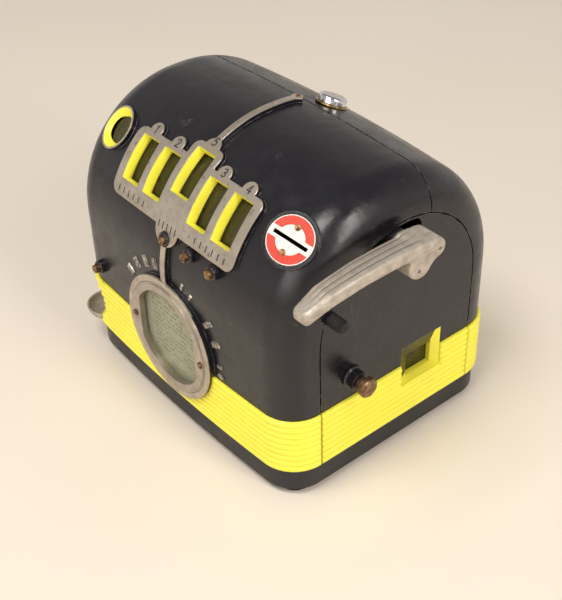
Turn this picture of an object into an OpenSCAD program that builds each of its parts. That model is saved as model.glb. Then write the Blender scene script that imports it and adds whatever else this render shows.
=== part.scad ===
// Countertop five-reel coin machine with a side lever and a ball-gum vendor.
// Millimetres. X runs to the right as a player sees it, Y to the back, Z up.
// The origin is on the counter, under the middle of the casing.

/* [Casing] */
// Width over the two flat sides
body_w = 256; // [246:1:262]
// Depth at the middle, front to back
body_d = 206.6; // [202:0.1:212]
// Height of the castings from the foot of the ribbed band to the top
shell_h = 204.7; // [202:0.1:208]
// Radius of the arch from the front over to the top
front_r = 95.4; // [92:0.1:97]
// Radius of the arch from the top down to the back
rear_r = 104.7; // [101:0.1:106]
// Radius of the rounded shoulder along both ends
shoulder_r = 27.2; // [25:0.1:29]
// Rise of the front and top at the middle above their ends
crown = 3.1; // [2:0.1:4]
// Thickness of the castings
wall = 4; // [3:0.5:5]
// Place of the joint between the front and the rear castings
seam_y = 26; // [22:1:32]
// Open joint left between neighbouring castings
seam_gap = 1; // [0.6:0.1:1.2]
// Half the width of the arched side covers
cover_r = 72; // [68:0.5:72.5]

/* [Band and foot] */
// Height of the ribbed band
band_h = 47; // [44:1:50]
// How far the band's ribs stand proud of the casting
band_proud = 1.2; // [0.8:0.1:2]
// Height of the plinth under the band
plinth_h = 19; // [17:1:21]
// How far the plinth is set back under the band
plinth_inset = 0.5; // [0.5:0.5:2]
// Height of a rubber foot below the plinth
foot_h = 6; // [4:0.5:8]
// Radius of a rubber foot
foot_r = 13; // [10:0.5:14]

/* [Window plate] */
// Height of the polished plate, ring and bars above the casting
relief = 3.4; // [2.5:0.1:4]
// Distance from one reel window to the next
window_pitch = 26.4; // [26:0.1:28]
// Width of a window at its mouth
window_w = 20.4; // [18:0.1:22]
// Height of a window at its mouth
window_h = 37; // [34:0.5:40]
// How far a window's sides lean in, from mouth to floor
window_lean = 2.3; // [1.5:0.1:3]
// Elevation of the four lower windows around the front arch
window_angle = 40; // [38:1:42]
// Elevation of the raised middle window
raised_angle = 47.3; // [46:0.1:49]

/* [Card ring] */
// Height of the ring's centre above the counter
ring_z = 80; // [78:1:82]
// Outer radius of the ring
ring_r = 50; // [48:0.5:52]
// Radius of the round opening in the bezel
ring_sight_r = 38; // [36:0.5:39]
// Half the width between the opening's straight sides
ring_chord = 34; // [30:0.5:36]

/* [Lever] */
// Height of the reel and lever axis
axis_z = 126; // [124:1:128]
// Inner face of the lever
lever_x0 = 138; // [137:0.5:140]
// Outer face of the lever
lever_x1 = 160; // [156:0.5:162]

/* [Reels] */
// Radius of a reel drum
reel_r = 90; // [86:0.5:91]
// Width of a reel drum
reel_w = 22; // [20:0.5:23]
// Radius of the shaft that carries the reels and the lever
shaft_r = 5; // [4:0.5:6]
// Radial running clearance on the shaft
run_gap = 0.05; // [0.03:0.01:0.08]

/* [Controls] */
// Height of the three front buttons
button_z = 164.5; // [163:0.5:166]
// Radius of a brass button plunger
button_r = 3.4; // [3:0.1:4]
// Radius of the disc around the coin slot
coin_r = 16.3; // [16:0.1:17]
// Length of the coin slot
coin_slot = 26.3; // [25:0.1:27]

/* [Hidden] */
band_z = foot_h + plinth_h;
band_top = band_z + band_h;
top_z = band_z + shell_h;
front_y = -body_d / 2 + front_r;
front_z = top_z - front_r;
rear_y = body_d / 2 - rear_r;
rear_z = top_z - rear_r;
side_x = body_w / 2;
shoulder_x = side_x - shoulder_r;
crown_r = (shoulder_x * shoulder_x + crown * crown) / (2 * crown);
shoulder_in = crown_r - sqrt(pow(crown_r - shoulder_r, 2) - pow(shoulder_x, 2));
big = 400;
lap = 0.8;
fine = 96;
axis_y = 0.5;
slot_r = 63;
slot_w = 14;
slot_a0 = 81;
slot_a1 = 136.5;
arm_a = 96;
arm_w = 10;
plate_x = 72;
plate_t = 2.5;
coin_c = [102.1, -73.2, 203.7];
coin_n = [0.35, -0.64, 0.684];
gum_c = [-95.3, -72.6, 201.3];
gum_n = [-0.205, -0.696, 0.688];
gum_r = 17.6;
gum_hole_r = 11;
lock_c = [9, 43];
stud_c = [-62, 150];
plunger_c = [-43.5, 91];
view_mouth = [4, 53, 43.5, 88];
view_floor = [14, 54.5, 38.5, 73.5];
view_deep = 5;
slot_turn = -20;
spout_c = [-122, -89.8];
spout_turn = -141.5;
spout_rim_z = 33;
spout_r = 17.6;
spout_deep = 12;
outlet_z = 48.6;
outlet_r = 23;
gum_button_c = [-97, 88.5];
spring_x = 118.4;
spring_y0 = -3.7;
spring_y1 = 50;
spring_z = 166;
chute_top = [-63, 112];
chute_end = [26, 66];
chute_r = 12.4;
brake_c = [-94, 139];
brake_tilt = 8.8;

// ---- shapes shared by the castings ----

// Half of the casing's crowned section: radius along the first axis, width along the second.
module crowned_section(rad, e) {
  tangent_x = shoulder_x + (shoulder_r + e) * shoulder_x / (crown_r - shoulder_r) - lap;
  intersection() {
    translate([rad - crown_r, 0]) circle(r = crown_r + e, $fn = 1440);
    translate([0, -tangent_x]) square([rad + 10, 2 * tangent_x]);
  }
  translate([0, -side_x - e]) square([rad - shoulder_in, body_w + 2 * e]);
  for (s = [-1, 1])
    translate([rad - shoulder_in, s * shoulder_x]) circle(r = shoulder_r + e, $fn = fine);
}

// The casing's plan at the height of the band.
module plan_outline(e) {
  translate([0, front_y]) rotate(-90) crowned_section(front_r, e);
  translate([0, rear_y]) rotate(90) crowned_section(rear_r, e);
  translate([-side_x - e, front_y]) square([body_w + 2 * e, rear_y - front_y]);
}

// The whole arched body as one solid, grown by e and standing on the height z0.
module arched_body(e, z0) {
  translate([0, front_y, front_z]) rotate([90, 0, -90])
    rotate_extrude(angle = 90, $fn = 144) crowned_section(front_r, e);
  translate([0, rear_y, rear_z]) rotate([90, 0, 90])
    rotate_extrude(angle = 90, $fn = 144) crowned_section(rear_r, e);
  translate([0, front_y, z0]) linear_extrude(front_z - z0) rotate(-90) crowned_section(front_r, e);
  translate([0, rear_y, z0]) linear_extrude(rear_z - z0) rotate(90) crowned_section(rear_r, e);
  translate([0, rear_y, front_z]) rotate([90, 0, 0])
    linear_extrude(rear_y - front_y) rotate(90) crowned_section(front_r, e);
  translate([-side_x - e, front_y, z0]) cube([body_w + 2 * e, rear_y - front_y, front_z - z0]);
}

// Outline of an arched side cover, height along the second axis.
module cover_outline(grow) {
  translate([axis_y, axis_z]) circle(r = cover_r + grow, $fn = fine * 2);
  translate([axis_y - cover_r - grow, band_z - grow]) square([2 * cover_r + 2 * grow, axis_z - band_z + grow]);
}

// A prism along X with its outline drawn in Y and Z, from x0 to x1.
module along_x(x0, x1) {
  translate([x0, 0, 0]) rotate([90, 0, 90]) linear_extrude(x1 - x0) children();
}

// Puts a shape drawn about +Z at a place on the front arch, facing out at an elevation.
module on_arch(angle) {
  translate([0, front_y, front_z]) rotate([90 - angle, 0, 0]) children();
}

// Turns a shape drawn about +Z to face along a direction.
module facing(p, n) {
  translate(p) rotate([0, acos(n[2] / norm(n)), atan2(n[1], n[0])]) children();
}

module bar(p, r, h) {
  translate(p) rotate([0, 90, 0]) cylinder(r = r, h = h, $fn = 48);
}

// A four-sided pit with leaning walls, mouth at the height z1.
module leaning_pit(w, h, lean_w, lean_h, z0, z1) {
  s = [[-1, -1], [1, -1], [1, 1], [-1, 1]];
  low = [for (k = s) [k[0] * (w / 2 - lean_w), k[1] * (h / 2 - lean_h), z0]];
  high = [for (k = s) [k[0] * w / 2, k[1] * h / 2, z1]];
  polyhedron(points = concat(low, high),
    faces = [[0, 1, 2, 3], [7, 6, 5, 4], [0, 4, 5, 1], [1, 5, 6, 2], [2, 6, 7, 3], [3, 7, 4, 0]]);
}

// ---- polished plate, ring and bars cast on the front ----

window_u = [for (i = [-2, -1, 1, 2]) i * window_pitch];
plate_half = 70;
plate_low = -30.2;
plate_high = 22.5;

module rounded_rect(x0, y0, x1, y1, r) {
  translate([x0 + r, y0]) square([x1 - x0 - 2 * r, y1 - y0]);
  translate([x0, y0 + r]) square([x1 - x0, y1 - y0 - 2 * r]);
  for (x = [x0 + r, x1 - r], y = [y0 + r, y1 - r]) translate([x, y]) circle(r = r, $fn = 48);
}

module plate_outline() {
  rounded_rect(-plate_half, plate_low, plate_half, plate_high, 7);
  rounded_rect(-15.2, 0, 15.2, 34.8, 6);
  translate([0, 34]) circle(r = 7, $fn = 48);
  for (x = window_u) translate([x - 1, 23.5]) circle(r = 6.2, $fn = 48);
  translate([0, -29.5]) circle(r = 12.5, $fn = 64);
}

module polished_reliefs() {
  intersection() {
    union() {
      on_arch(window_angle) translate([0, 0, 60]) linear_extrude(60) plate_outline();
      translate([-2.6, -body_d / 2 - 10, ring_z + 40]) cube([5.2, 30, 45]);
      translate([0, 0, axis_z + 40]) linear_extrude(80)
        polygon([[-2.6, -60], [2.6, -60], [2.6, 16], [5, 20], [0, seam_y - 1], [-5, 20], [-2.6, 16]]);
    }
    arched_body(relief, band_z);
  }
}

module window_pit() {
  leaning_pit(window_w, window_h, window_lean, window_lean, front_r - wall, front_r + 3);
  translate([0, 0, front_r + 5.9]) cube([window_w, window_h, 6], center = true);
  translate([0, 0, front_r - wall - 5])
    cube([window_w - 2 * window_lean, window_h - 2 * window_lean, 12], center = true);
}

module window_pits() {
  for (x = window_u) on_arch(window_angle) translate([x, 0, 0]) window_pit();
  on_arch(raised_angle) window_pit();
}

// ---- castings ----

button_xs = [0, window_pitch, 2 * window_pitch];

module front_bosses() {
  translate([0, -body_d / 2 + 10, ring_z]) rotate([90, 0, 0]) cylinder(r = ring_r, h = 14.2, $fn = fine * 2);
  facing(coin_c, coin_n) translate([0, 0, -9]) cylinder(r = coin_r + 2.6, h = 8.4, $fn = fine);
  facing(gum_c, gum_n) translate([0, 0, -6]) cylinder(r = gum_r, h = 6.3, $fn = fine);
}

// A round prism through the left front corner, along the way the gum comes out.
module outlet(r, long) {
  translate([spout_c[0], spout_c[1], outlet_z]) rotate(spout_turn) translate([-long / 2, 0, 0])
    rotate([0, 90, 0]) cylinder(r = r, h = long, $fn = fine);
}

module front_cuts() {
  window_pits();
  translate([0, -body_d / 2, ring_z]) rotate([90, 0, 0]) {
    translate([0, 0, 0.2]) cylinder(r = 45, h = 20, $fn = fine * 2);
    translate([0, 0, -3.3]) cylinder(r = 42, h = 10, $fn = fine * 2);
    translate([0, 0, -20]) cylinder(r = 39, h = 30, $fn = fine * 2);
  }
  facing(coin_c, coin_n) {
    translate([0, 0, -1.6]) cylinder(r = coin_r + 0.2, h = 10, $fn = fine);
    rotate(slot_turn) cube([3.6, coin_slot + 1.2, 60], center = true);
  }
  facing(gum_c, gum_n) {
    translate([0, 0, -4.4]) cylinder(r1 = gum_hole_r, r2 = gum_r - 1.6, h = 4.9, $fn = fine);
    translate([0, 0, 0.4]) cylinder(r = gum_r - 1.6, h = 5, $fn = fine);
    translate([0, 0, -30]) cylinder(r = gum_hole_r, h = 25.7, $fn = fine);
  }
  for (x = button_xs)
    translate([x, -80, button_z]) rotate([90, 0, 0]) cylinder(r = 5.5, h = 60, $fn = 48);
  translate([gum_button_c[0], -80, gum_button_c[1]]) rotate([90, 0, 0]) cylinder(r = 5.5, h = 60, $fn = 48);
  outlet(outlet_r, 40);
}

module outer_casting() {
  arched_body(0, band_z);
  translate([0, 0, band_z]) linear_extrude(band_h) plan_outline(band_proud);
}

module cover_clearance() {
  for (s = [-1, 1])
    along_x(s > 0 ? side_x - 12 : -side_x - 8, s > 0 ? side_x + 8 : -side_x + 12) cover_outline(seam_gap / 2);
}

module front_shell() {
  color("#23232e") difference() {
    union() {
      outer_casting();
      polished_reliefs();
      front_bosses();
    }
    difference() {
      arched_body(-wall, band_z - 1);
      translate([0, -body_d / 2 + 9.5, ring_z]) rotate([90, 0, 0]) cylinder(r = 45, h = 12, $fn = fine * 2);
    }
    translate([-big / 2, seam_y - seam_gap / 2, 0]) cube([big, big, big]);
    cover_clearance();
    front_cuts();
  }
}

module rear_shell() {
  color("#262530") difference() {
    outer_casting();
    arched_body(-wall, band_z - 1);
    translate([-big / 2, seam_y + seam_gap / 2 - big, 0]) cube([big, big, big]);
    cover_clearance();
    translate([lock_c[0], lock_c[1], top_z - 40]) cylinder(r = 8, h = 60, $fn = 64);
  }
}

module cover_plate() {
  along_x(side_x - wall, side_x) intersection() {
    cover_outline(-seam_gap / 2);
    translate([-big / 2, band_z]) square([big, big]);
  }
  translate([side_x - wall, axis_y - cover_r + seam_gap / 2, band_z])
    cube([wall + band_proud, 2 * cover_r - seam_gap, band_h]);
}

function polar(c, r, a) = c + r * [cos(a), sin(a)];

// A slot of width w along an arc of radius r about the lever axis, with round ends at a0 and a1.
module arc_slot(r, w, a0, a1) {
  c = [axis_y, axis_z];
  step = (a1 - a0) / 32;
  polygon(concat(
    [for (k = [0:32]) polar(c, r + w / 2, a0 + k * step)],
    [for (k = [15:15:165]) polar(polar(c, r, a1), w / 2, a1 + k)],
    [for (k = [0:32]) polar(c, r - w / 2, a1 - k * step)],
    [for (k = [15:15:165]) polar(polar(c, r, a0), w / 2, a0 + 180 + k)]));
}

// Four corners of a rectangle given as [y0, z0, y1, z1], standing at x.
function upright(x, r) = [[x, r[0], r[1]], [x, r[2], r[1]], [x, r[2], r[3]], [x, r[0], r[3]]];

// A box along X over a rectangle given as [y0, z0, y1, z1], grown by e.
module over_rect(x0, x1, r, e) {
  translate([x0, r[0] - e, r[1] - e]) cube([x1 - x0, r[2] - r[0] + 2 * e, r[3] - r[1] + 2 * e]);
}

// The recess around the coin window: steep sill, flared top, glass opening behind.
module view_recess() {
  polyhedron(points = concat(upright(side_x - view_deep, view_floor), upright(side_x + 0.01, view_mouth)),
    faces = [[0, 1, 2, 3], [7, 6, 5, 4], [0, 4, 5, 1], [1, 5, 6, 2], [2, 6, 7, 3], [3, 7, 4, 0]]);
  over_rect(side_x, side_x + 5, view_mouth, 0);
  over_rect(side_x - 14, side_x - view_deep + 0.5, view_floor, 0);
}

module right_cover() {
  color("#2a2832") difference() {
    union() {
      cover_plate();
      over_rect(side_x - 8.8, side_x - 3.8, view_mouth, 3);
      bar([spring_x - 4, spring_y1, spring_z], 1.8, 10);
    }
    along_x(side_x - 10, side_x + 5) arc_slot(slot_r, slot_w, slot_a0, slot_a1);
    view_recess();
    bar([side_x - 20, plunger_c[0], plunger_c[1]], 6.5, 40);
    bar([side_x - 20, stud_c[0], stud_c[1]], 3, 40);
  }
}

module left_cover() {
  color("#2a2832") mirror([1, 0, 0]) cover_plate();
}

// ---- plinth and feet ----

module feet_at() {
  for (x = [-1, 1], y = [-1, 1]) translate([x * 108, y * 79, 0]) children();
}

module plinth() {
  color("#1e1c20") difference() {
    translate([0, 0, foot_h]) linear_extrude(plinth_h) plan_outline(-plinth_inset);
    translate([0, 0, foot_h + 4]) linear_extrude(plinth_h) plan_outline(-plinth_inset - wall);
    feet_at() cylinder(r = 2.2, h = 30, $fn = 32);
  }
}

module feet() {
  color("#141414") feet_at() rotate_extrude($fn = 64)
    polygon([[2.2, 2.4], [5, 2.4], [5, 0], [foot_r, 0], [foot_r, foot_h - 1.2], [foot_r - 1.2, foot_h], [2.2, foot_h]]);
}

module foot_screws() {
  color("#8d8f92") feet_at() rotate_extrude($fn = 48)
    polygon([[0, 0.6], [4, 0.6], [4, 2.4], [2, 2.4], [2, foot_h + 11], [0, foot_h + 11]]);
}

// ---- card ring ----

module card_bezel() {
  color("#c9c2b6") translate([0, -body_d / 2 - 0.4, ring_z]) rotate([90, 0, 0]) difference() {
    union() {
      cylinder(r = 44.7, h = 3.9, $fn = fine * 2);
      translate([0, 0, 3.9]) cylinder(r = 43.4, h = 0.7, $fn = fine * 2);
    }
    translate([0, 0, -1]) linear_extrude(8) intersection() {
      circle(r = ring_sight_r, $fn = fine * 2);
      square([2 * ring_chord, 100], center = true);
    }
    for (s = [-1, 1]) translate([s * 40.6, 0, -1]) cylinder(r = 1.5, h = 10, $fn = 32);
  }
}

module bezel_screws() {
  color("#9c7d4e") for (s = [-1, 1])
    translate([s * 40.6, -body_d / 2 - 0.4, ring_z]) rotate([90, 0, 0]) difference() {
      union() {
        cylinder(r = 1.45, h = 4.8, $fn = 32);
        translate([0, 0, 4.7]) cylinder(r = 2.6, h = 0.9, $fn = 32);
      }
      translate([-3, -0.35, 5.1]) cube([6, 0.7, 2]);
    }
}

module card_glass() {
  color("#b9c4bc", 0.4) translate([0, -body_d / 2 + 1.9, ring_z]) rotate([90, 0, 0]) cylinder(r = 41.7, h = 2, $fn = fine * 2);
}

module rule_card() {
  color("#cdb98c") translate([0, -body_d / 2 + 3, ring_z]) rotate([90, 0, 0]) cylinder(r = 41.7, h = 0.8, $fn = fine * 2);
}

// ---- glasses ----

module reel_window_glass() {
  color("#6f6b4a", 0.4) intersection() {
    translate([-67, front_y, front_z]) rotate([0, 90, 0]) difference() {
      cylinder(r = front_r - wall - 1.8, h = 134, $fn = fine * 2);
      translate([0, 0, -1]) cylinder(r = front_r - wall - 3.4, h = 140, $fn = fine * 2);
    }
    on_arch(44.5) translate([0, 0, 75]) cube([134, 58, 60], center = true);
  }
}

module gum_window_glass() {
  color("#6f6b4a", 0.4) facing(gum_c, gum_n) translate([0, 0, -6.4])
    cylinder(r = gum_hole_r - 0.1, h = 1.8, $fn = 64);
}

module coin_window_glass() {
  color("#6f6b4a", 0.4) over_rect(side_x - 10.5, side_x - 8.9, view_floor, 2);
}

// ---- coin entry ----

module coin_entry_disc() {
  color("#e9e4da") facing(coin_c, coin_n) difference() {
    translate([0, 0, -1.6]) cylinder(r = coin_r, h = 1.8, $fn = fine);
    rotate(slot_turn) cube([2.6, coin_slot, 10], center = true);
    for (s = [-1, 1]) rotate(slot_turn) translate([s * 9, 0, -3]) cylinder(r = 1.2, h = 8, $fn = 32);
  }
}

module coin_disc_screws() {
  color("#8f7a52") facing(coin_c, coin_n) for (s = [-1, 1]) rotate(slot_turn) translate([s * 9, 0, -1.6]) {
    cylinder(r = 1.15, h = 2, $fn = 32);
    translate([0, 0, 1.9]) cylinder(r = 2, h = 0.7, $fn = 32);
  }
}

// ---- lock and rivet on the top ----

// Places a shape on the rear arch at y, standing square to it, e above its surface.
module on_rear_arch(x, y, e) {
  tilt = asin((y - rear_y) / rear_r);
  translate([x, rear_y, rear_z]) rotate([-tilt, 0, 0]) translate([0, 0, rear_r + e]) children();
}

module at_lock() {
  on_rear_arch(lock_c[0], lock_c[1], 0) children();
}

module lock_flange() {
  color("#a4905e") at_lock() difference() {
    union() {
      translate([0, 0, 0.1]) cylinder(r = 11.9, h = 1.2, $fn = fine);
      translate([0, 0, -3]) cylinder(r = 6.4, h = 4, $fn = 48);
    }
    translate([0, 0, -6]) cylinder(r = 5 + run_gap, h = 20, $fn = 48);
  }
}

module lock_cap() {
  color("#d8d8dc") at_lock() {
    translate([0, 0, 1.5]) rotate_extrude($fn = 64) {
      square([10.6, 2.7]);
      translate([7.8, 2.7]) circle(r = 2.8, $fn = 48);
      square([7.8, 5.5]);
    }
    translate([0, 0, -9.4]) cylinder(r = 5, h = 12.9, $fn = 48);
  }
}

module lock_cam() {
  color("#9a9a9e") at_lock() translate([0, 0, -11.4]) difference() {
    translate([-6, -24, 0]) cube([12, 30, 2]);
    translate([0, 0, -5]) cylinder(r = 1.6, h = 8, $fn = 32);
  }
}

module trim_rivet() {
  color("#9a6a3c") on_rear_arch(0, 19.5, relief) rotate_extrude($fn = 48)
    polygon([[0, 0], [1.8, 0], [1.6, 0.5], [0.9, 0.9], [0, 1]]);
}

// ---- push buttons ----

// A black bush through the casting, from y_out at the front to y_in inside.
module bush(x, z, y_out, y_in) {
  translate([x, y_out, z]) rotate([-90, 0, 0]) rotate_extrude($fn = 48)
    polygon([[button_r + 0.25, 0], [4.6, 0], [5.4, 1], [5.4, y_in - y_out], [button_r + 0.25, y_in - y_out]]);
}

module button_bushes() {
  color("#17161a") {
    bush(button_xs[0], button_z, -103.4, -94);
    for (x = [button_xs[1], button_xs[2]]) bush(x, button_z, -102.8, -94);
    bush(gum_button_c[0], gum_button_c[1], -105, -96);
  }
}

// A brass plunger from y_out to its retaining head, which ends at y_in.
module button(x, z, y_out, y_in) {
  translate([x, y_out, z]) rotate([-90, 0, 0]) {
    cylinder(r = button_r, h = y_in - y_out, $fn = 48);
    translate([0, 0, y_in - y_out - 1.4]) cylinder(r = 5, h = 1.4, $fn = 48);
  }
}

module house_button() { color("#7d5a34") button(button_xs[0], button_z, -105.2, -92.1); }

module inner_draw_button() { color("#7d5a34") button(button_xs[1], button_z, -106, -92.1); }

module outer_draw_button() { color("#7d5a34") button(button_xs[2], button_z, -105.3, -92.1); }

module gum_button() { color("#7d5a34") button(gum_button_c[0], gum_button_c[1], -108.3, -94); }

module plunger_bush() {
  color("#17161a") translate([side_x - 9, plunger_c[0], plunger_c[1]]) rotate([0, 90, 0]) rotate_extrude($fn = 64)
    polygon([[4.25, 0], [6.4, 0], [6.4, 9.2], [8.4, 9.2], [8.4, 10.6], [7.2, 11.4], [7.2, 18], [4.25, 18]]);
}

module coin_plunger() {
  color("#8f7a4a") translate([0, plunger_c[0], plunger_c[1]]) rotate([0, 90, 0]) {
    translate([0, 0, side_x - 24]) cylinder(r = 4, h = 38, $fn = 48);
    translate([0, 0, side_x + 12.5]) rotate_extrude($fn = 64)
      polygon([[0, 0], [6.4, 0], [7.4, 1], [7.4, 5], [6.4, 6], [0, 6]]);
    translate([0, 0, side_x - 24]) cylinder(r = 6, h = 1.6, $fn = 48);
  }
}

module stop_stud() {
  color("#141414") translate([side_x + 0.3, stud_c[0], stud_c[1]]) rotate([0, 90, 0]) {
    cylinder(r = 5, h = 11, $fn = 6);
    translate([0, 0, 10.9]) cylinder(r = 3.6, h = 1.6, $fn = 48);
    translate([0, 0, -8]) cylinder(r = 2.95, h = 9, $fn = 48);
  }
}

// ---- lever ----

// Stations along the hand grip: place in Y and Z, half height, half width, drop of the inner edge.
grip = [[-104, 187.5, 5, 7, 1], [-87, 194.4, 5.3, 9.4, 2.5], [-60, 198.2, 5.2, 10.6, 3.5], [-34, 198.8, 5.2, 11, 3.5],
  [-12, 197.4, 5.2, 11, 2.5]];
grip_edge_r = 2.6;
hoof = [[0, 193.5, 7.2], [-14.5, 186.5, 10], [-14, 196.4, 6]];

module grip_station(s) {
  mid = (lever_x0 + lever_x1) / 2;
  in = s[3] - grip_edge_r;
  up = s[2] - grip_edge_r;
  for (p = [[in, up], [in, -up], [-in, -up], [-in, up - s[4]]])
    translate([mid + p[0], s[0], s[1] + p[1]]) sphere(r = grip_edge_r, $fn = 16);
}

module hoof_lobe(a, b, less) {
  hull() for (h = [a, b]) translate([lever_x0, h[0], h[1]]) rotate([0, 90, 0])
    cylinder(r = h[2] - less, h = lever_x1 - lever_x0, $fn = 40);
}

module handle() {
  color("#c3b8ab") {
    for (i = [0:3]) hull() {
      grip_station(grip[i]);
      grip_station(grip[i + 1]);
    }
    hoof_lobe(hoof[0], hoof[2], 0);
    hoof_lobe(hoof[1], hoof[2], 0);
    hoof_lobe(hoof[0], hoof[1], 1.6);
  }
}

module handle_pins() {
  color("#8c857c") for (p = [[1.5, 193], [-16.5, 183.5]])
    bar([lever_x1, p[0], p[1]], 1.2, 0.3);
}

module lever_plate() {
  color("#8f9093") difference() {
    union() {
      along_x(112, 115) {
        translate([axis_y, axis_z]) circle(r = 14, $fn = 64);
        translate([axis_y, axis_z]) rotate(arm_a) translate([0, -6]) square([slot_r + 4, 12]);
      }
      translate([112, axis_y, axis_z]) rotate([arm_a - 90, 0, 0])
        translate([0, -arm_w / 2, slot_r - 4.5]) cube([lever_x0 - 112, arm_w, 9]);
      bar([104, axis_y, axis_z], 12, 9);
      bar([114, spring_y0, spring_z], 1.8, 7);
    }
    bar([90, axis_y, axis_z], shaft_r + run_gap, 40);
  }
}

module lever_spring() {
  color("#8d8f92") translate([spring_x, spring_y1 - 2.1, spring_z]) rotate([90, 0, 0])
    cylinder(r = 2.9, h = spring_y1 - spring_y0 - 4.2, $fn = 32);
}

// ---- reel works ----

module frame_plate_outline() {
  difference() {
    union() {
      translate([-90, foot_h + 8]) square([180, 26]);
      polygon([[-60, 34], [60, 34], [26, axis_z], [-26, axis_z]]);
      translate([axis_y, axis_z]) circle(r = 26, $fn = 64);
      polygon([[-90, 34], [-60, 34], [-89, brake_c[1] + 6], [-96.8, brake_c[1] + 6], [-96.8, brake_c[1] - 20]]);
    }
    translate([0, 62]) circle(r = 15, $fn = 64);
  }
}

module frame_plate(x0) {
  difference() {
    union() {
      along_x(x0, x0 + plate_t) frame_plate_outline();
      translate([x0, -90, foot_h + 4]) cube([plate_t, 180, 6]);
    }
    bar([x0 - 5, axis_y, axis_z], shaft_r, 20);
    for (y = [-84, 84]) bar([x0 - 5, y, 30], 3, 20);
    bar([x0 - 5, brake_c[0], brake_c[1]], 2, 20);
  }
}

module left_frame_plate() { color("#9a9c9f") frame_plate(-plate_x - plate_t); }

module right_frame_plate() { color("#9a9c9f") frame_plate(plate_x); }

module tie_rods() {
  color("#8d8f92") for (y = [-84, 84]) bar([-plate_x - 8, y, 30], 3, 2 * plate_x + 16);
}

module reel_shaft() { color("#b5b7ba") bar([-plate_x - 8, axis_y, axis_z], shaft_r, plate_x + 8 + 120); }

module shaft_collars() {
  color("#6f7174") for (x = [-plate_x - 8, plate_x + plate_t + 22, 115.4]) difference() {
    bar([x, axis_y, axis_z], 8.5, 4.6);
    bar([x - 1, axis_y, axis_z], shaft_r, 8);
  }
}

module reel(i) {
  x = i * window_pitch - reel_w / 2;
  translate([x, axis_y, axis_z]) rotate([0, 90, 0]) {
    difference() {
      cylinder(r = reel_r, h = reel_w, $fn = fine * 2);
      translate([0, 0, 2]) cylinder(r = reel_r - 1.6, h = reel_w, $fn = fine * 2);
      translate([0, 0, -1]) cylinder(r = shaft_r + run_gap, h = 60, $fn = 48);
      for (a = [0:60:300]) rotate(a) translate([48, 0, -1]) cylinder(r = 15, h = 8, $fn = 48);
    }
    difference() {
      cylinder(r = 11, h = reel_w + 2, $fn = 48);
      translate([0, 0, -1]) cylinder(r = shaft_r + run_gap, h = 60, $fn = 48);
    }
  }
}

module reel_1() { color("#cdbf94") reel(-2); }

module reel_2() { color("#cdbf94") reel(-1); }

module reel_5() { color("#cdbf94") reel(0); }

module reel_3() { color("#cdbf94") reel(1); }

module reel_4() { color("#cdbf94") reel(2); }

// ---- reel brakes behind the three front buttons ----

module brake_rod() { color("#b5b7ba") bar([-plate_x, brake_c[0], brake_c[1]], 2, 2 * plate_x); }

module brake(i) {
  x = i * window_pitch;
  difference() {
    union() {
      bar([x - 6, brake_c[0], brake_c[1]], 3.5, 12);
      translate([x, brake_c[0], brake_c[1]]) rotate([-brake_tilt, 0, 0]) {
        translate([-4, -1, 0]) cube([8, 2, 29]);
        translate([-5, 0.9, 24]) cube([10, 2.5, 5]);
      }
    }
    bar([x - 10, brake_c[0], brake_c[1]], 2 + run_gap, 20);
  }
}

module house_brake() { color("#9c8a5a") brake(0); }

module inner_draw_brake() { color("#9c8a5a") brake(1); }

module outer_draw_brake() { color("#9c8a5a") brake(2); }

// ---- coin path ----

// Outline of the lower runway the coin rolls down, grown by e.
module runway(e) {
  hull() {
    translate(chute_top) circle(r = chute_r + e, $fn = 64);
    translate(chute_end) circle(r = chute_r + e, $fn = 64);
  }
}

module coin_chute() {
  color("#a0937a") difference() {
    union() {
      translate([86, -66, 100]) cube([27.4, 6, 84]);
      along_x(108.4, 113.4) runway(1.2);
    }
    translate([87.2, -64.5, 105]) cube([25, 3, 100]);
    along_x(109.7, 112.1) runway(0);
    along_x(111, 115) translate(chute_end) circle(r = 10.8, $fn = 64);
    along_x(109.7, 112.1) translate(chute_end) translate([-chute_r, -20]) square([2 * chute_r, 20]);
    bar([100, plunger_c[0], plunger_c[1]], 7, 20);
  }
}

module last_coin() {
  color("#a9a59b") along_x(110, 111.9) translate(chute_end) circle(r = 10.6, $fn = 64);
}

module cash_box() {
  color("#6d6a66") difference() {
    translate([78, -70, foot_h + 4]) cube([40, 130, 38]);
    translate([79.2, -68.8, foot_h + 5.2]) cube([37.6, 127.6, 50]);
  }
}

// ---- ball-gum vendor ----

module gum_hopper() {
  color("#8f7f63") difference() {
    translate([-120, -62, 93]) cube([36, 68, 86]);
    translate([-118.6, -60.6, 106]) cube([33.2, 65.2, 90]);
    translate([-112, -50, 80]) cube([20, 20, 60]);
  }
}

module gum_gate() {
  color("#9a9a9e") translate([-120, -84, 90]) difference() {
    cube([36, 62, 2.4]);
    translate([8, 14, -1]) cube([20, 20, 6]);
  }
}

module gum_chute() {
  color("#9a9a9e") translate([-102, -40, 54]) {
    difference() {
      translate([-12, -12, 4]) cube([24, 24, 31]);
      translate([-10.8, -10.8, 0]) cube([21.6, 21.6, 50]);
    }
    rotate(-105) rotate([0, 17, 0]) translate([-11, -9.5, -2]) difference() {
      cube([53, 19, 5]);
      translate([1.2, 1.2, 1.2]) cube([60, 16.6, 20]);
    }
  }
}

// Quarter outline of a bowl, from the middle of its floor to its rim.
function bowl_arc(r, deep) = [for (a = [90:-7.5:0]) [r * cos(a), -deep * sin(a)]];

// The curved back of the spout, which closes the outlet but for a hole for the gum.
module spout_back() {
  intersection() {
    linear_extrude(90) difference() {
      plan_outline(-1.2);
      plan_outline(-2.8);
    }
    outlet(outlet_r - 0.2, 40);
  }
}

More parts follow.
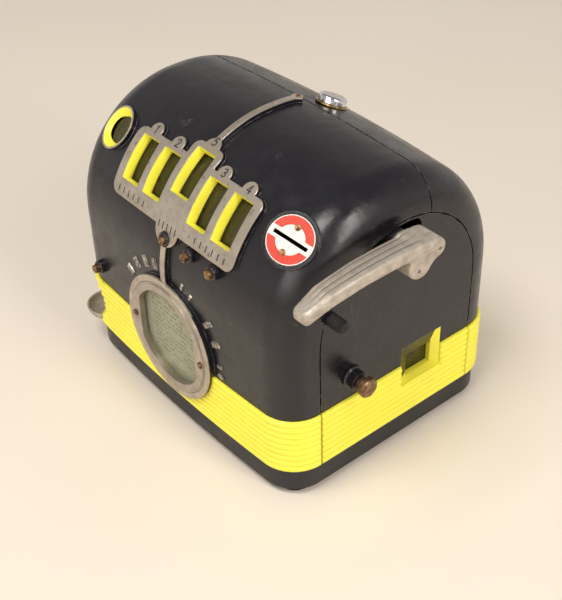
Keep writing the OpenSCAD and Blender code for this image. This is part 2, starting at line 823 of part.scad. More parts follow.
module spout_bowl() {
  difference() {
    translate([spout_c[0], spout_c[1], spout_rim_z]) rotate(spout_turn) translate([-2.6, 0, 0])
      rotate_extrude($fn = fine) polygon(concat(bowl_arc(spout_r, spout_deep), [[0, 0]]));
    translate([spout_c[0], spout_c[1], spout_rim_z + 0.1]) rotate(spout_turn) translate([-2.6, 0, 0])
      rotate_extrude($fn = fine) polygon(concat(bowl_arc(spout_r - 1.5, spout_deep - 1.4), [[0, 0]]));
    difference() {
      linear_extrude(90) plan_outline(band_proud + 0.1);
      outlet(outlet_r - 0.2, 40);
    }
    linear_extrude(90) plan_outline(-2.8);
  }
}

module gum_spout() {
  color("#c3b8ab") difference() {
    union() {
      spout_bowl();
      spout_back();
    }
    outlet(9.5, 40);
    cover_clearance();
  }
}

front_shell();
rear_shell();
right_cover();
left_cover();
plinth();
feet();
foot_screws();
card_bezel();
bezel_screws();
card_glass();
rule_card();
reel_window_glass();
gum_window_glass();
coin_entry_disc();
coin_disc_screws();
trim_rivet();
lock_flange();
lock_cap();
lock_cam();
button_bushes();
house_button();
inner_draw_button();
outer_draw_button();
gum_button();
plunger_bush();
coin_plunger();
stop_stud();
handle();
handle_pins();
lever_plate();
lever_spring();
left_frame_plate();
right_frame_plate();
tie_rods();
reel_shaft();
shaft_collars();
reel_1();
reel_2();
reel_3();
reel_4();
reel_5();
brake_rod();
house_brake();
inner_draw_brake();
outer_draw_brake();
coin_chute();
coin_window_glass();
last_coin();
cash_box();
gum_hopper();
gum_gate();
gum_chute();
gum_spout();
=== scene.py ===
import math

import bmesh
import bpy
from mathutils import Matrix, Vector


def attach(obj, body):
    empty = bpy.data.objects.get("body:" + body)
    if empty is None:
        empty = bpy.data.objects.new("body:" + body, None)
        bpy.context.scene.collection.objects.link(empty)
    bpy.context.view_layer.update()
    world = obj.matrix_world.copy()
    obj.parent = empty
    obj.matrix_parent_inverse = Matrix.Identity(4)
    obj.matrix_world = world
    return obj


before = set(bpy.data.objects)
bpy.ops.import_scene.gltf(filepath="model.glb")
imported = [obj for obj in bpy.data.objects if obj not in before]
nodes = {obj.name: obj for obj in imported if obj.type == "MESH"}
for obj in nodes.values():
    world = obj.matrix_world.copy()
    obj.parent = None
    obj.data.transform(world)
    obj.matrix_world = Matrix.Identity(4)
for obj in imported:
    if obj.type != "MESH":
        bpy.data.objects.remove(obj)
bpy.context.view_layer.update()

# ---- View ----
# The machine is seen from above its right front corner, where the lever side and the
# front meet. The camera stands about 0.8 m from it.
view_place = Vector((0.56305, -0.44752, 0.61638))
view_turn = 51.60
view_tilt = 52.25
view_roll = -1.84
camera = bpy.data.objects.new("camera", bpy.data.cameras.new("camera"))
camera.data.lens = 69.43
camera.data.sensor_width = 36.0
camera.matrix_world = (
    Matrix.Translation(view_place)
    @ Matrix.Rotation(math.radians(view_turn), 4, "Z")
    @ Matrix.Rotation(math.radians(view_tilt), 4, "X")
    @ Matrix.Rotation(math.radians(view_roll), 4, "Z")
)
bpy.context.collection.objects.link(camera)
bpy.context.scene.camera = camera

# ---- Lamps ----
# Large soft lamps stand in for a bright room: one high in front gives the long highlights on
# the arch, and a warm one from the right lifts the lever side. The room is dimmer overhead.
warm_white = (1, 0.95, 0.9)


def add(finish, kind, inputs=(), out=0, **settings):
    """Adds a node with its settings and its inputs, values or links, and gives one output.

    Inputs are named, or counted from 0: MapRange has value, from, from, to and to, and Mix has
    0 for the share and 6 and 7 for two colours.
    """
    made = finish.node_tree.nodes.new("ShaderNode" + kind)
    for name, value in settings.items():
        setattr(made, name, value)
    for name, value in dict(inputs).items():
        if isinstance(value, bpy.types.NodeSocket):
            finish.node_tree.links.new(value, made.inputs[name])
        else:
            made.inputs[name].default_value = value
    return made.outputs[out]


for name, place, aim, size, power, tint in (
        ("ceiling_lamp", (0.1, -0.8, 1.8), (0, 0, 0.1), (1.0, 0.7), 21, (1, 0.965, 0.92)),
        ("window_lamp", (1.6, 0.1, 1.2), (0, 0, 0.15), (0.5, 1.2), 17, warm_white),
        ("front_lamp", (0.4, -1.7, 0.8), (0, 0, 0.1), (1.2, 0.7), 7, warm_white)):
    lamp = bpy.data.objects.new(name, bpy.data.lights.new(name, "AREA"))
    lamp.data.shape = "RECTANGLE"
    lamp.data.size, lamp.data.size_y = size
    lamp.data.energy = power
    lamp.data.color = tint
    lamp.location = place
    lamp.rotation_euler = (Vector(aim) - Vector(place)).to_track_quat("-Z", "Y").to_euler()
    bpy.context.collection.objects.link(lamp)

room = bpy.data.worlds.new("room")
room.use_nodes = True
sky_place = add(room, "TexCoord", out="Generated")
sky_up = add(room, "SeparateXYZ", {0: sky_place}, out="Z")
room_light = room.node_tree.nodes["Background"].inputs
room_light["Color"].default_value = (0.93, 0.88, 0.82, 1)
room.node_tree.links.new(add(room, "MapRange", {0: sky_up, 1: 0.1, 2: 0.8, 3: 0.85, 4: 0.32}),
                         room_light["Strength"])
bpy.context.scene.world = room
bpy.context.scene.view_settings.view_transform = "Standard"

# ---- Counter ----
# The machine stands on a plain pale floor of glazed stoneware, half glossy, with a slow
# unevenness of gloss and tone.
mm = 0.001


def colour(hex_code):
    """A linear colour from an sRGB hex code."""
    parts = [int(hex_code[i:i + 2], 16) / 255 for i in (1, 3, 5)]
    return tuple(p / 12.92 if p <= 0.04045 else ((p + 0.055) / 1.055) ** 2.4
                 for p in parts) + (1,)


def new_finish(name, **constants):
    """A material with its surface shader, and the constants that are the same all over it."""
    finish = bpy.data.materials.new(name)
    finish.use_nodes = True
    shader = finish.node_tree.nodes["Principled BSDF"]
    for name, value in constants.items():
        shader.inputs[name.replace("_", " ")].default_value = value
    return finish


def surface(finish, **links):
    """Links sockets into a material's surface shader."""
    shader = finish.node_tree.nodes["Principled BSDF"]
    for name, socket in links.items():
        finish.node_tree.links.new(socket, shader.inputs[name.replace("_", " ")])


def object_from(name, bm, finish, smooth=True):
    """A piece from a bmesh, in the scene, with its material."""
    mesh = bpy.data.meshes.new(name)
    bmesh.ops.recalc_face_normals(bm, faces=bm.faces)
    bm.to_mesh(mesh)
    bm.free()
    mesh.polygons.foreach_set("use_smooth", [smooth] * len(mesh.polygons))
    piece = bpy.data.objects.new(name, mesh)
    piece.data.materials.append(finish)
    bpy.context.collection.objects.link(piece)
    return piece


# Glazed stoneware: pale cream under a thin even glaze, so its shine is broad and soft.
glazed_tile = new_finish("glazed_stoneware", IOR=1.5)
here = add(glazed_tile, "TexCoord", out="Object")
cloud = add(glazed_tile, "TexNoise", {"Vector": here, "Scale": 1 / (400 * mm)})
cream = add(glazed_tile, "Mix", {0: cloud, 6: colour("#efe6da"), 7: colour("#e6dbcd")},
            out=2, data_type="RGBA")
glaze = add(glazed_tile, "MapRange", {0: cloud, 1: 0.3, 2: 0.7, 3: 0.32, 4: 0.42})
surface(glazed_tile, Base_Color=cream, Roughness=glaze)
floor_mesh = bmesh.new()
bmesh.ops.create_grid(floor_mesh, x_segments=8, y_segments=8, size=3.0)
floor = object_from("counter", floor_mesh, glazed_tile)

# ---- Castings ----
# Two sand-cast aluminium shells and two arched side covers, filed smooth and sprayed with
# blue-black enamel. The plate around the windows, the thin bars and the ring stand proud and
# are polished bare. The band, the window pits and the recess by the coin window are lemon.
front_axis = (-0.0079, 0.1343)
front_radius = 0.0954
rear_axis = (-0.0014, 0.125)
rear_radius = 0.1047
crown_radius = 1.6404
relief = 0.0034
band_low, band_high = 0.025, 0.072
pitch = 0.0264
pit_half_wide, pit_half_high = 0.01025, 0.01855
gum_middle = (-0.0953, -0.0726, 0.2013)
gum_out = Vector((-0.205, -0.696, 0.688)).normalized()
gum_hole, gum_rim_radius = 0.0161, 0.0176
ring_high, ring_radius = 0.080, 0.0503


def within(finish, *limits, edge=0.1 * mm, times=None):
    """1 where each value lies between its two limits and 0 outside, times another share."""
    share = times
    for value, low, high in limits:
        for limit, half in ((low, edge), (high, -edge)):
            if limit is None:
                continue
            step = add(finish, "MapRange", {0: value, 1: limit - half, 2: limit + half})
            if share is not None:
                step = add(finish, "Math", {0: share, 1: step}, operation="MULTIPLY")
            share = step
    return share


def finish_node(name, finish):
    """Gives a carried-over node its material."""
    slots = nodes[name].material_slots
    if len(slots) == 0:
        nodes[name].data.materials.append(finish)
    for slot in slots:
        slot.material = finish


# Stoved enamel on cast aluminium: nearly black with a blue cast, glossy, and a little uneven
# from the casting below. It has chipped and worn through to grey metal at the edges.
casting = new_finish("enamelled_cast_aluminium", IOR=1.5)
here = add(casting, "TexCoord", out="Object")
x, y, z = (add(casting, "SeparateXYZ", {0: here}, out=axis) for axis in ("X", "Y", "Z"))
wide = add(casting, "Math", {0: x}, operation="ABSOLUTE")

# how far a point lies outside the enamelled arch, in metres
arches = []
for axis, radius, side in ((front_axis, front_radius, "MINIMUM"),
                           (rear_axis, rear_radius, "MAXIMUM")):
    behind = add(casting, "Math", {0: y, 1: axis[0]}, operation="SUBTRACT")
    along = add(casting, "Math", {0: behind, 1: 0.0}, operation=side)
    above = add(casting, "Math", {0: z, 1: axis[1]}, operation="SUBTRACT")
    up = add(casting, "Math", {0: above, 1: 0.0}, operation="MAXIMUM")
    away = add(casting, "VectorMath", {0: add(casting, "CombineXYZ", {0: along, 1: up})},
               out="Value", operation="LENGTH")
    arches.append(add(casting, "Math", {0: away, 1: radius}, operation="SUBTRACT"))
outer = add(casting, "Math", {0: arches[0], 1: arches[1]}, operation="MAXIMUM")
x_square = add(casting, "Math", {0: x, 1: x}, operation="MULTIPLY")
over = add(casting, "Math", {0: x_square, 1: 0.5 / crown_radius, 2: outer},
           operation="MULTIPLY_ADD")

# the window pits: four low ones and a higher one in the middle, each square to the arch there
from_axis = add(casting, "VectorMath", {0: here, 1: (0, *front_axis)}, operation="SUBTRACT")
up_slope = []
for slope in (40, 47.3):
    lean = math.radians(90 - slope)
    slope_way = (0, math.cos(lean), math.sin(lean))
    up_slope.append(add(casting, "VectorMath", {0: from_axis, 1: slope_way}, out="Value",
                        operation="DOT_PRODUCT"))
between = add(casting, "Math", {0: wide, 1: 1.5 * pitch}, operation="SUBTRACT")
fold = add(casting, "Math", {0: between}, operation="ABSOLUTE")
off_pit = add(casting, "Math", {0: fold, 1: pitch / 2}, operation="SUBTRACT")
low_pits = within(casting, (off_pit, -pit_half_wide, pit_half_wide),
                  (up_slope[0], -pit_half_high, pit_half_high))
top_pit = within(casting, (wide, None, pit_half_wide),
                 (up_slope[1], -pit_half_high, pit_half_high))
pits = add(casting, "Math", {0: low_pits, 1: top_pit}, operation="MAXIMUM")
in_pit = within(casting, (over, None, relief - 0.2 * mm), (z, 0.15, None), (y, None, -0.02),
                times=pits)

# the gum window: a lemon bevel inside a bare rim
from_gum = add(casting, "VectorMath", {0: here, 1: gum_middle}, operation="SUBTRACT")
gum_high = add(casting, "VectorMath", {0: from_gum, 1: gum_out}, out="Value",
               operation="DOT_PRODUCT")
gum_cross = add(casting, "VectorMath", {0: from_gum, 1: gum_out}, operation="CROSS_PRODUCT")
gum_far = add(casting, "VectorMath", {0: gum_cross}, out="Value", operation="LENGTH")
gum_bevel = within(casting, (gum_far, None, gum_hole), (gum_high, -13 * mm, 6 * mm))
gum_rim = within(casting, (gum_far, gum_hole, gum_rim_radius), (gum_high, 0.1 * mm, 3 * mm))

# the card ring: its side is enamelled and its face is bare
from_ring = add(casting, "Math", {0: z, 1: ring_high}, operation="SUBTRACT")
ring_far = add(casting, "VectorMath", {0: add(casting, "CombineXYZ", {0: x, 1: from_ring})},
               out="Value", operation="LENGTH")
at_ring = within(casting, (ring_far, None, ring_radius), (y, None, -0.1048))
ring_face = within(casting, (y, None, -0.1069), times=at_ring)

# the band, less the front wall of the coin recess, which stays dark enamel as painted shade, and
# the recess's back wall
back_wall = within(casting, (y, 0.0379, 0.0436), (z, None, 0.0872), (x, 0.1231, 0.1279))
# the recess's front wall is kept in dark enamel, painting the shade that falls on it
recess_front_wall_painted_shade = within(casting, (y, 0.003, 0.0147), (z, 0.0575, None), (x, 0.1231, 0.1279))
lemon = within(casting, (z, None, band_high + 0.2 * mm))
for hidden in (recess_front_wall_painted_shade, at_ring):
    shown = add(casting, "Math", {0: 1.0, 1: hidden}, operation="SUBTRACT")
    lemon = add(casting, "Math", {0: lemon, 1: shown}, operation="MULTIPLY")
for painted in (in_pit, gum_bevel, back_wall):
    lemon = add(casting, "Math", {0: lemon, 1: painted}, operation="MAXIMUM")

# the polished plate and bars, the ring's face and the gum window's rim
no_pit = add(casting, "Math", {0: 1.0, 1: in_pit}, operation="SUBTRACT")
proud = within(casting, (over, 0.0026, None), edge=0.2 * mm, times=no_pit)
bare = within(casting, (wide, None, 0.0715), (z, 0.118, None), times=proud)
for polished in (ring_face, gum_rim):
    bare = add(casting, "Math", {0: bare, 1: polished}, operation="MAXIMUM")

# wear: edges where the rounded normal leaves the true one, chips, and long faint scuffs
soft_normal = add(casting, "Bevel", {"Radius": 0.9 * mm}, samples=6)
true_normal = add(casting, "NewGeometry", out="Normal")
turn = add(casting, "VectorMath", {0: soft_normal, 1: true_normal}, out="Value",
           operation="DOT_PRODUCT")
patch = add(casting, "TexNoise", {"Vector": here, "Scale": 1 / (9 * mm), "Detail": 6.0})
chip = add(casting, "TexNoise", {"Vector": here, "Scale": 1 / (7 * mm), "Detail": 3.0})
upright = add(casting, "Mapping", {"Vector": here, "Scale": (1, 1, 0.16)})
scuff = add(casting, "TexNoise", {"Vector": upright, "Scale": 1 / (26 * mm), "Detail": 5.0})
speck = add(casting, "TexNoise", {"Vector": here, "Scale": 1 / (1.4 * mm)})
wear = []
for first, second in (((turn, 0.93, 0.75), (patch, 0.52, 0.6)),
                      ((chip, 0.769, 0.781), (patch, 0.51, 0.55)),
                      ((scuff, 0.67, 0.73), (speck, 0.48, 0.58))):
    one, two = (add(casting, "MapRange", {0: value, 1: low, 2: high})
                for value, low, high in (first, second))
    wear.append(add(casting, "Math", {0: one, 1: two}, operation="MULTIPLY"))
worn, chips, scuffs = wear

tone = add(casting, "TexNoise", {"Vector": here, "Scale": 1 / (60 * mm), "Detail": 4.0})
fresh = add(casting, "MapRange", {0: tone, 1: 0.35, 2: 0.7})
faint = add(casting, "Math", {0: scuffs, 1: 0.35}, operation="MULTIPLY")
through = add(casting, "Math", {0: chips, 1: worn}, operation="MAXIMUM")
sunned = add(casting, "MapRange", {0: tone, 1: 0.3, 2: 0.75})
# the yellow is mixed darker wherever the rounded normal turns away from the true one, along edges
# and creases alike
yellow_darker_at_edges = add(casting, "MapRange", {0: turn, 1: 0.95, 2: 0.7, 4: 0.25})
buffing = add(casting, "MapRange", {0: patch, 1: 0.3, 2: 0.7})
pore = add(casting, "TexNoise", {"Vector": here, "Scale": 1 / (3 * mm), "Detail": 4.0})
pores = add(casting, "MapRange", {0: pore, 1: 0.62, 2: 0.72})
enamel, yellow, metal = colour("#121118"), colour("#f8f04a"), colour("#c6bcae")
for share, shade in ((fresh, "#18161c"), (faint, "#6d6870"), (through, "#8e877f")):
    enamel = add(casting, "Mix", {0: share, 6: enamel, 7: colour(shade)}, out=2, data_type="RGBA")
for share, shade in ((sunned, "#f0e64c"), (yellow_darker_at_edges, "#b3a52f")):
    yellow = add(casting, "Mix", {0: share, 6: yellow, 7: colour(shade)}, out=2, data_type="RGBA")
for share, shade in ((buffing, "#aaa093"), (pores, "#7f776d")):
    metal = add(casting, "Mix", {0: share, 6: metal, 7: colour(shade)}, out=2, data_type="RGBA")
tint = add(casting, "Mix", {0: lemon, 6: enamel, 7: yellow}, out=2, data_type="RGBA")
tint = add(casting, "Mix", {0: bare, 6: tint, 7: metal}, out=2, data_type="RGBA")

spray = add(casting, "TexNoise", {"Vector": here, "Scale": 1 / (3.2 * mm)})
peel = add(casting, "Bump", {"Height": spray, "Distance": 0.05 * mm, "Normal": soft_normal})
wave = add(casting, "TexNoise", {"Vector": here, "Scale": 1 / (24 * mm), "Detail": 3.0})
cast = add(casting, "Bump", {"Height": wave, "Distance": 0.5 * mm, "Normal": peel})
smear = add(casting, "TexNoise", {"Vector": here, "Scale": 1 / (14 * mm), "Detail": 5.0})
gloss = add(casting, "MapRange", {0: smear, 1: 0.3, 2: 0.75, 3: 0.20, 4: 0.38})
marked = add(casting, "Math", {0: chips, 1: scuffs}, operation="MAXIMUM")
matt = add(casting, "Math", {0: marked, 1: 0.55}, operation="MULTIPLY")
gloss = add(casting, "Math", {0: gloss, 1: matt}, operation="MAXIMUM")
gloss = add(casting, "Mix", {0: lemon, "A": gloss, "B": 0.36})
buffed = add(casting, "MapRange", {0: patch, 1: 0.3, 2: 0.7, 3: 0.28, 4: 0.46})
gloss = add(casting, "Mix", {0: bare, "A": gloss, "B": buffed})
metallic = add(casting, "Math", {0: bare, 1: 0.85}, operation="MULTIPLY")
surface(casting, Base_Color=tint, Metallic=metallic, Roughness=gloss, Normal=cast)
for name in ("front_shell", "rear_shell", "right_cover", "left_cover"):
    finish_node(name, casting)

# ---- Band ribs ----
# Nine half-round ribs are cast on the band all the way round. They stop at the seams beside
# the covers, at the card ring, at the gum outlet and at the recess of the coin window.
rib_count = 9
rib_pitch = (band_high - band_low) / rib_count
rib_rise = 0.0012
rib_half = 0.0024
rib_sink = 0.00005
rib_steps = 8
band_out = 0.0012
side_face = 0.128
corner_at = (0.1008, 0.07295)
corner_radius = 0.0272 + band_out
crown_half = 0.10257
crown_centre = 1.5371
outlet_at, outlet_high, outlet_gap = (-0.122, -0.0898), 0.0486, 0.0233
outlet_way = (0.6225, 0.7826)
recess_low, recess_span = 0.0525, (0.0036, 0.0439)


def band_path(front):
    """Points along one end of the band and the way each faces, from the right side to the left."""
    points = []
    reach = crown_radius + band_out
    turn = math.asin(crown_half / reach)
    for k in range(61):
        angle = k / 60 * (math.pi / 2 - turn)
        points.append((corner_at[0] + corner_radius * math.cos(angle),
                       -corner_at[1] - corner_radius * math.sin(angle),
                       math.cos(angle), -math.sin(angle)))
    for k in range(1, 300):
        angle = turn * (1 - k / 150)
        points.append((reach * math.sin(angle), crown_centre - reach * math.cos(angle),
                       math.sin(angle), -math.cos(angle)))
    points += [(-px, py, -nx, ny) for px, py, nx, ny in reversed(points[:61])]
    if not front:
        points = [(px, -py, nx, -ny) for px, py, nx, ny in points]
    return points


def rib_runs(path, height, part):
    """The stretches of a rib that are really there."""
    runs, run = [], []
    up_ring, up_outlet = height - ring_high, height - outlet_high
    for px, py, nx, ny in path:
        gone = False
        if part == "front" and abs(up_ring) < ring_radius:
            gone = abs(px) < math.sqrt(ring_radius ** 2 - up_ring ** 2)
        if part == "front" and px < -0.08 and abs(up_outlet) < outlet_gap:
            off = (px - outlet_at[0]) * outlet_way[0] - (py - outlet_at[1]) * outlet_way[1]
            gone = gone or abs(off) < math.sqrt(outlet_gap ** 2 - up_outlet ** 2)
        if part == "right" and height > recess_low:
            gone = recess_span[0] < py < recess_span[1]
        if gone:
            runs.append(run)
            run = []
        else:
            run.append((px, py, nx, ny))
    runs.append(run)
    return [found for found in runs if len(found) > 1]


side_ys = [-0.0709 + 0.1424 * k / 360 for k in range(361)]
band_paths = {
    "front": band_path(True),
    "rear": band_path(False),
    "right": [(side_face + band_out, along, 1, 0) for along in side_ys],
    "left": [(-side_face - band_out, along, -1, 0) for along in side_ys],
}
for part, path in band_paths.items():
    ribs = bmesh.new()
    for row in range(rib_count):
        middle = band_low + (row + 0.5) * rib_pitch
        for run in rib_runs(path, middle, part):
            rings = []
            for px, py, nx, ny in run:
                ring = []
                for step in range(rib_steps + 1):
                    angle = math.pi * step / rib_steps
                    out = rib_rise * math.sin(angle) - rib_sink
                    ring.append(ribs.verts.new((px + nx * out, py + ny * out,
                                                middle - rib_half * math.cos(angle))))
                rings.append(ring)
            for one, two in zip(rings, rings[1:]):
                for a in range(rib_steps):
                    ribs.faces.new((one[a], one[a + 1], two[a + 1], two[a]))
            ribs.faces.new(rings[0])
            ribs.faces.new(rings[-1])
    band_ribs = object_from("band_ribs_" + part, ribs, casting)
    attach(band_ribs, "casing")

# ---- Raised marks on the front ----
# Plain cast bars stand in a ring around the card window and have their paint rubbed off.
# They are low blocks with sloped sides, part of the front casting.
rubbed_metal = new_finish("rubbed_cast_aluminium", Metallic=0.85)
here = add(rubbed_metal, "TexCoord", out="Object")
rub = add(rubbed_metal, "TexNoise", {"Vector": here, "Scale": 1 / (2.2 * mm), "Detail": 4.0})
rubbed = add(rubbed_metal, "MapRange", {0: rub, 1: 0.35, 2: 0.62})
tint = add(rubbed_metal, "Mix", {0: rubbed, 6: colour("#c9c1b5"), 7: colour("#6f6a68")},
           out=2, data_type="RGBA")
gloss = add(rubbed_metal, "MapRange", {0: rub, 1: 0.3, 2: 0.7, 3: 0.35, 4: 0.6})
relief_bump = add(rubbed_metal, "Bump", {"Height": rub, "Distance": 0.1 * mm})
surface(rubbed_metal, Base_Color=tint, Roughness=gloss, Normal=relief_bump)
mark_near = 0.0545
mark_sink, mark_rise, mark_slope = 0.0003, 0.0011, 0.0004


def front_point(u, v, lift):
    """A point on the front casting, u to the right and v up from the ring's centre."""
    high = ring_high + v
    deep = front_radius
    if high > front_axis[1]:
        deep = math.sqrt(front_radius ** 2 - (high - front_axis[1]) ** 2)
    return Vector((u, front_axis[0] - deep + u * u / (2 * crown_radius) - lift, high))


marks = bmesh.new()
for degrees, long in ((146, 9), (131, 9.5), (116, 9.5), (103.5, 9), (71, 6), (61, 6), (39, 10),
                      (24, 9), (6, 6), (-3, 6)):
    angle = math.radians(degrees)
    out = Vector((math.cos(angle), math.sin(angle)))
    across = Vector((-out.y, out.x))
    half = 0.0027 if long > 7 else 0.0014
    mark_far = mark_near + long * mm
    foot, top = [], []
    for away, aside in ((mark_near, -half), (mark_far, -half), (mark_far, half), (mark_near, half)):
        spot = out * away + across * aside
        drawn_in = mark_slope if away == mark_near else -mark_slope
        inner = out * (away + drawn_in) + across * (aside * 0.72)
        foot.append(marks.verts.new(front_point(spot.x, spot.y, -mark_sink)))
        top.append(marks.verts.new(front_point(inner.x, inner.y, mark_rise)))
    marks.faces.new(top)
    for a in range(4):
        marks.faces.new((foot[a], foot[(a + 1) % 4], top[(a + 1) % 4], top[a]))
raised_marks = object_from("raised_front_marks", marks, rubbed_metal, smooth=False)
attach(raised_marks, "casing")

# ---- Numerals over the windows ----
# Each window has its number stamped in the lobe above it and filled with black paint. Rows of
# plain ticks mark the lower edge of the plate.
stamping_ink = new_finish("black_filling_paint", IOR=1.5)
here = add(stamping_ink, "TexCoord", out="Object")
dry = add(stamping_ink, "TexNoise", {"Vector": here, "Scale": 1 / (0.8 * mm), "Detail": 3.0})
tint = add(stamping_ink, "Mix", {0: dry, 6: colour("#17151a"), 7: colour("#2c2a2c")},
           out=2, data_type="RGBA")
gloss = add(stamping_ink, "MapRange", {0: dry, 1: 0.3, 2: 0.7, 3: 0.4, 4: 0.6})
surface(stamping_ink, Base_Color=tint, Roughness=gloss)
numeral_size = 0.0037
stroke_width, tick_width = 0.0009, 0.0009
ink_sink, ink_rise = 0.0002, 0.00008
strokes = {
    1: [(0.22, 1.3), (0.5, 1.6), (0.5, 0.0)],
    2: [(0.06, 1.25), (0.2, 1.52), (0.5, 1.62), (0.84, 1.46), (0.88, 1.1), (0.6, 0.66),
        (0.05, 0.02), (0.95, 0.02)],
    3: [(0.1, 1.48), (0.5, 1.62), (0.85, 1.4), (0.8, 1.02), (0.42, 0.86), (0.84, 0.7),
        (0.92, 0.34), (0.55, 0.0), (0.06, 0.14)],
    4: [(0.95, 0.45), (0.04, 0.45), (0.7, 1.6), (0.7, 0.0)],
    5: [(0.9, 1.6), (0.2, 1.6), (0.12, 0.94), (0.5, 1.03), (0.86, 0.84), (0.92, 0.42),
        (0.6, 0.02), (0.05, 0.14)],
}


def plate_point(u, v, lift):
    """A point over the polished plate, v along its slope."""
    lean = math.radians(40)
    high = math.sqrt((front_radius + relief) ** 2 - v * v) - u * u / (2 * crown_radius) + lift
    return Vector((u, front_axis[0] + v * math.sin(lean) - high * math.cos(lean),
                   front_axis[1] + v * math.cos(lean) + high * math.sin(lean)))


def ink_line(bm, start, end, width):
    """One straight stroke of paint, a hair above the metal."""
    way = (Vector(end) - Vector(start)).normalized()
    aside = Vector((-way.y, way.x)) * width / 2
    a, b = Vector(start) - way * width * 0.4, Vector(end) + way * width * 0.4
    corners = (a - aside, b - aside, b + aside, a + aside)
    low = [bm.verts.new(plate_point(*spot, -ink_sink)) for spot in corners]
    high = [bm.verts.new(plate_point(*spot, ink_rise)) for spot in corners]
    bm.faces.new(high)
    for k in range(4):
        bm.faces.new((low[k], low[(k + 1) % 4], high[(k + 1) % 4], high[k]))


ink = bmesh.new()
low_base, top_base = 0.0213, 0.0352
for number, middle, base in ((1, -2 * pitch - 1 * mm, low_base), (2, -pitch - 1 * mm, low_base),
                             (5, 0, top_base), (3, pitch - 1 * mm, low_base),
                             (4, 2 * pitch - 1 * mm, low_base)):
    spots = [(middle + (sx - 0.5) * numeral_size, base + sy * numeral_size)
             for sx, sy in strokes[number]]
    for start, end in zip(spots, spots[1:]):
        ink_line(ink, start, end, stroke_width)
for first, count, gap, low, high in ((-0.062, 6, 0.0062, -0.0270, -0.0232),
                                     (0.030, 6, 0.0062, -0.0270, -0.0232),
                                     (-0.0092, 5, 0.0046, -0.0312, -0.0268)):
    for k in range(count):
        ink_line(ink, (first + k * gap, low), (first + k * gap, high), tick_width)
numerals = object_from("window_numerals", ink, stamping_ink, smooth=False)
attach(numerals, "casing")

# ---- Plinth and feet ----
# The plinth is a cast tray in thin black paint that shows the casting's grain. Four moulded
# rubber feet are held up into it with round-headed steel screws.

# Brushed-on black paint: the brush has left long low ridges, and dust dulls it in patches.
plinth_paint = new_finish("black_brushed_paint", IOR=1.5)
here = add(plinth_paint, "TexCoord", out="Object")
drawn = add(plinth_paint, "Mapping", {"Vector": here, "Scale": (0.15, 0.15, 1)})
brushed = add(plinth_paint, "TexNoise", {"Vector": drawn, "Scale": 1 / (5 * mm), "Detail": 4.0})
dust = add(plinth_paint, "TexNoise", {"Vector": here, "Scale": 1 / (30 * mm), "Detail": 5.0})
dusty = add(plinth_paint, "MapRange", {0: dust, 1: 0.45, 2: 0.75})
tint = add(plinth_paint, "Mix", {0: dusty, 6: colour("#16151a"), 7: colour("#29272b")},
           out=2, data_type="RGBA")
gloss = add(plinth_paint, "MapRange", {0: dust, 1: 0.3, 2: 0.7, 3: 0.34, 4: 0.6})
rounded = add(plinth_paint, "Bevel", {"Radius": 1.5 * mm}, samples=5)
ridges = add(plinth_paint, "Bump", {"Height": brushed, "Distance": 0.12 * mm, "Normal": rounded})
surface(plinth_paint, Base_Color=tint, Roughness=gloss, Normal=ridges)
finish_node("plinth", plinth_paint)

# Moulded rubber: black, dull, with a grey bloom and the fine grain of its mould.
foot_rubber = new_finish("moulded_black_rubber", IOR=1.52)
here = add(foot_rubber, "TexCoord", out="Object")
bloom = add(foot_rubber, "TexNoise", {"Vector": here, "Scale": 1 / (4 * mm), "Detail": 5.0})
mould_grain = add(foot_rubber, "TexNoise", {"Vector": here, "Scale": 1 / (0.5 * mm)})
tint = add(foot_rubber, "Mix", {0: bloom, 6: colour("#0b0b0c"), 7: colour("#1a1919")},
           out=2, data_type="RGBA")
gloss = add(foot_rubber, "MapRange", {0: bloom, 1: 0.3, 2: 0.7, 3: 0.6, 4: 0.85})
rounded = add(foot_rubber, "Bevel", {"Radius": 0.6 * mm}, samples=5)
grainy = add(foot_rubber, "Bump",
             {"Height": mould_grain, "Distance": 0.06 * mm, "Normal": rounded})
surface(foot_rubber, Base_Color=tint, Roughness=gloss, Normal=grainy)
finish_node("feet", foot_rubber)
finish_node("stop_stud", foot_rubber)

# Zinc plating on steel sheet: cool grey and half dull, mottled where it has oxidised.
zinc = new_finish("zinc_plated_steel", Metallic=1.0)
here = add(zinc, "TexCoord", out="Object")
spangle = add(zinc, "TexNoise", {"Vector": here, "Scale": 1 / (6 * mm), "Detail": 4.0})
plating = add(zinc, "TexNoise", {"Vector": here, "Scale": 1 / (0.7 * mm)})
mottle = add(zinc, "MapRange", {0: spangle, 1: 0.4, 2: 0.65})
tint = add(zinc, "Mix", {0: mottle, 6: colour("#a9aaa8"), 7: colour("#7d7c78")},
           out=2, data_type="RGBA")
gloss = add(zinc, "MapRange", {0: spangle, 1: 0.3, 2: 0.7, 3: 0.32, 4: 0.5})
rounded = add(zinc, "Bevel", {"Radius": 0.3 * mm}, samples=4)
grainy = add(zinc, "Bump", {"Height": plating, "Distance": 0.02 * mm, "Normal": rounded})
surface(zinc, Base_Color=tint, Roughness=gloss, Normal=grainy)
for name in ("foot_screws", "lever_plate", "left_frame_plate", "right_frame_plate", "tie_rods",
             "gum_gate", "gum_chute", "lock_cam"):
    finish_node(name, zinc)

# ---- Card ring ----
# A turned and polished aluminium bezel holds a round glass over the rule card. Two small brass
# screws fix it. The card is tan paper with worn plain dashes instead of print.

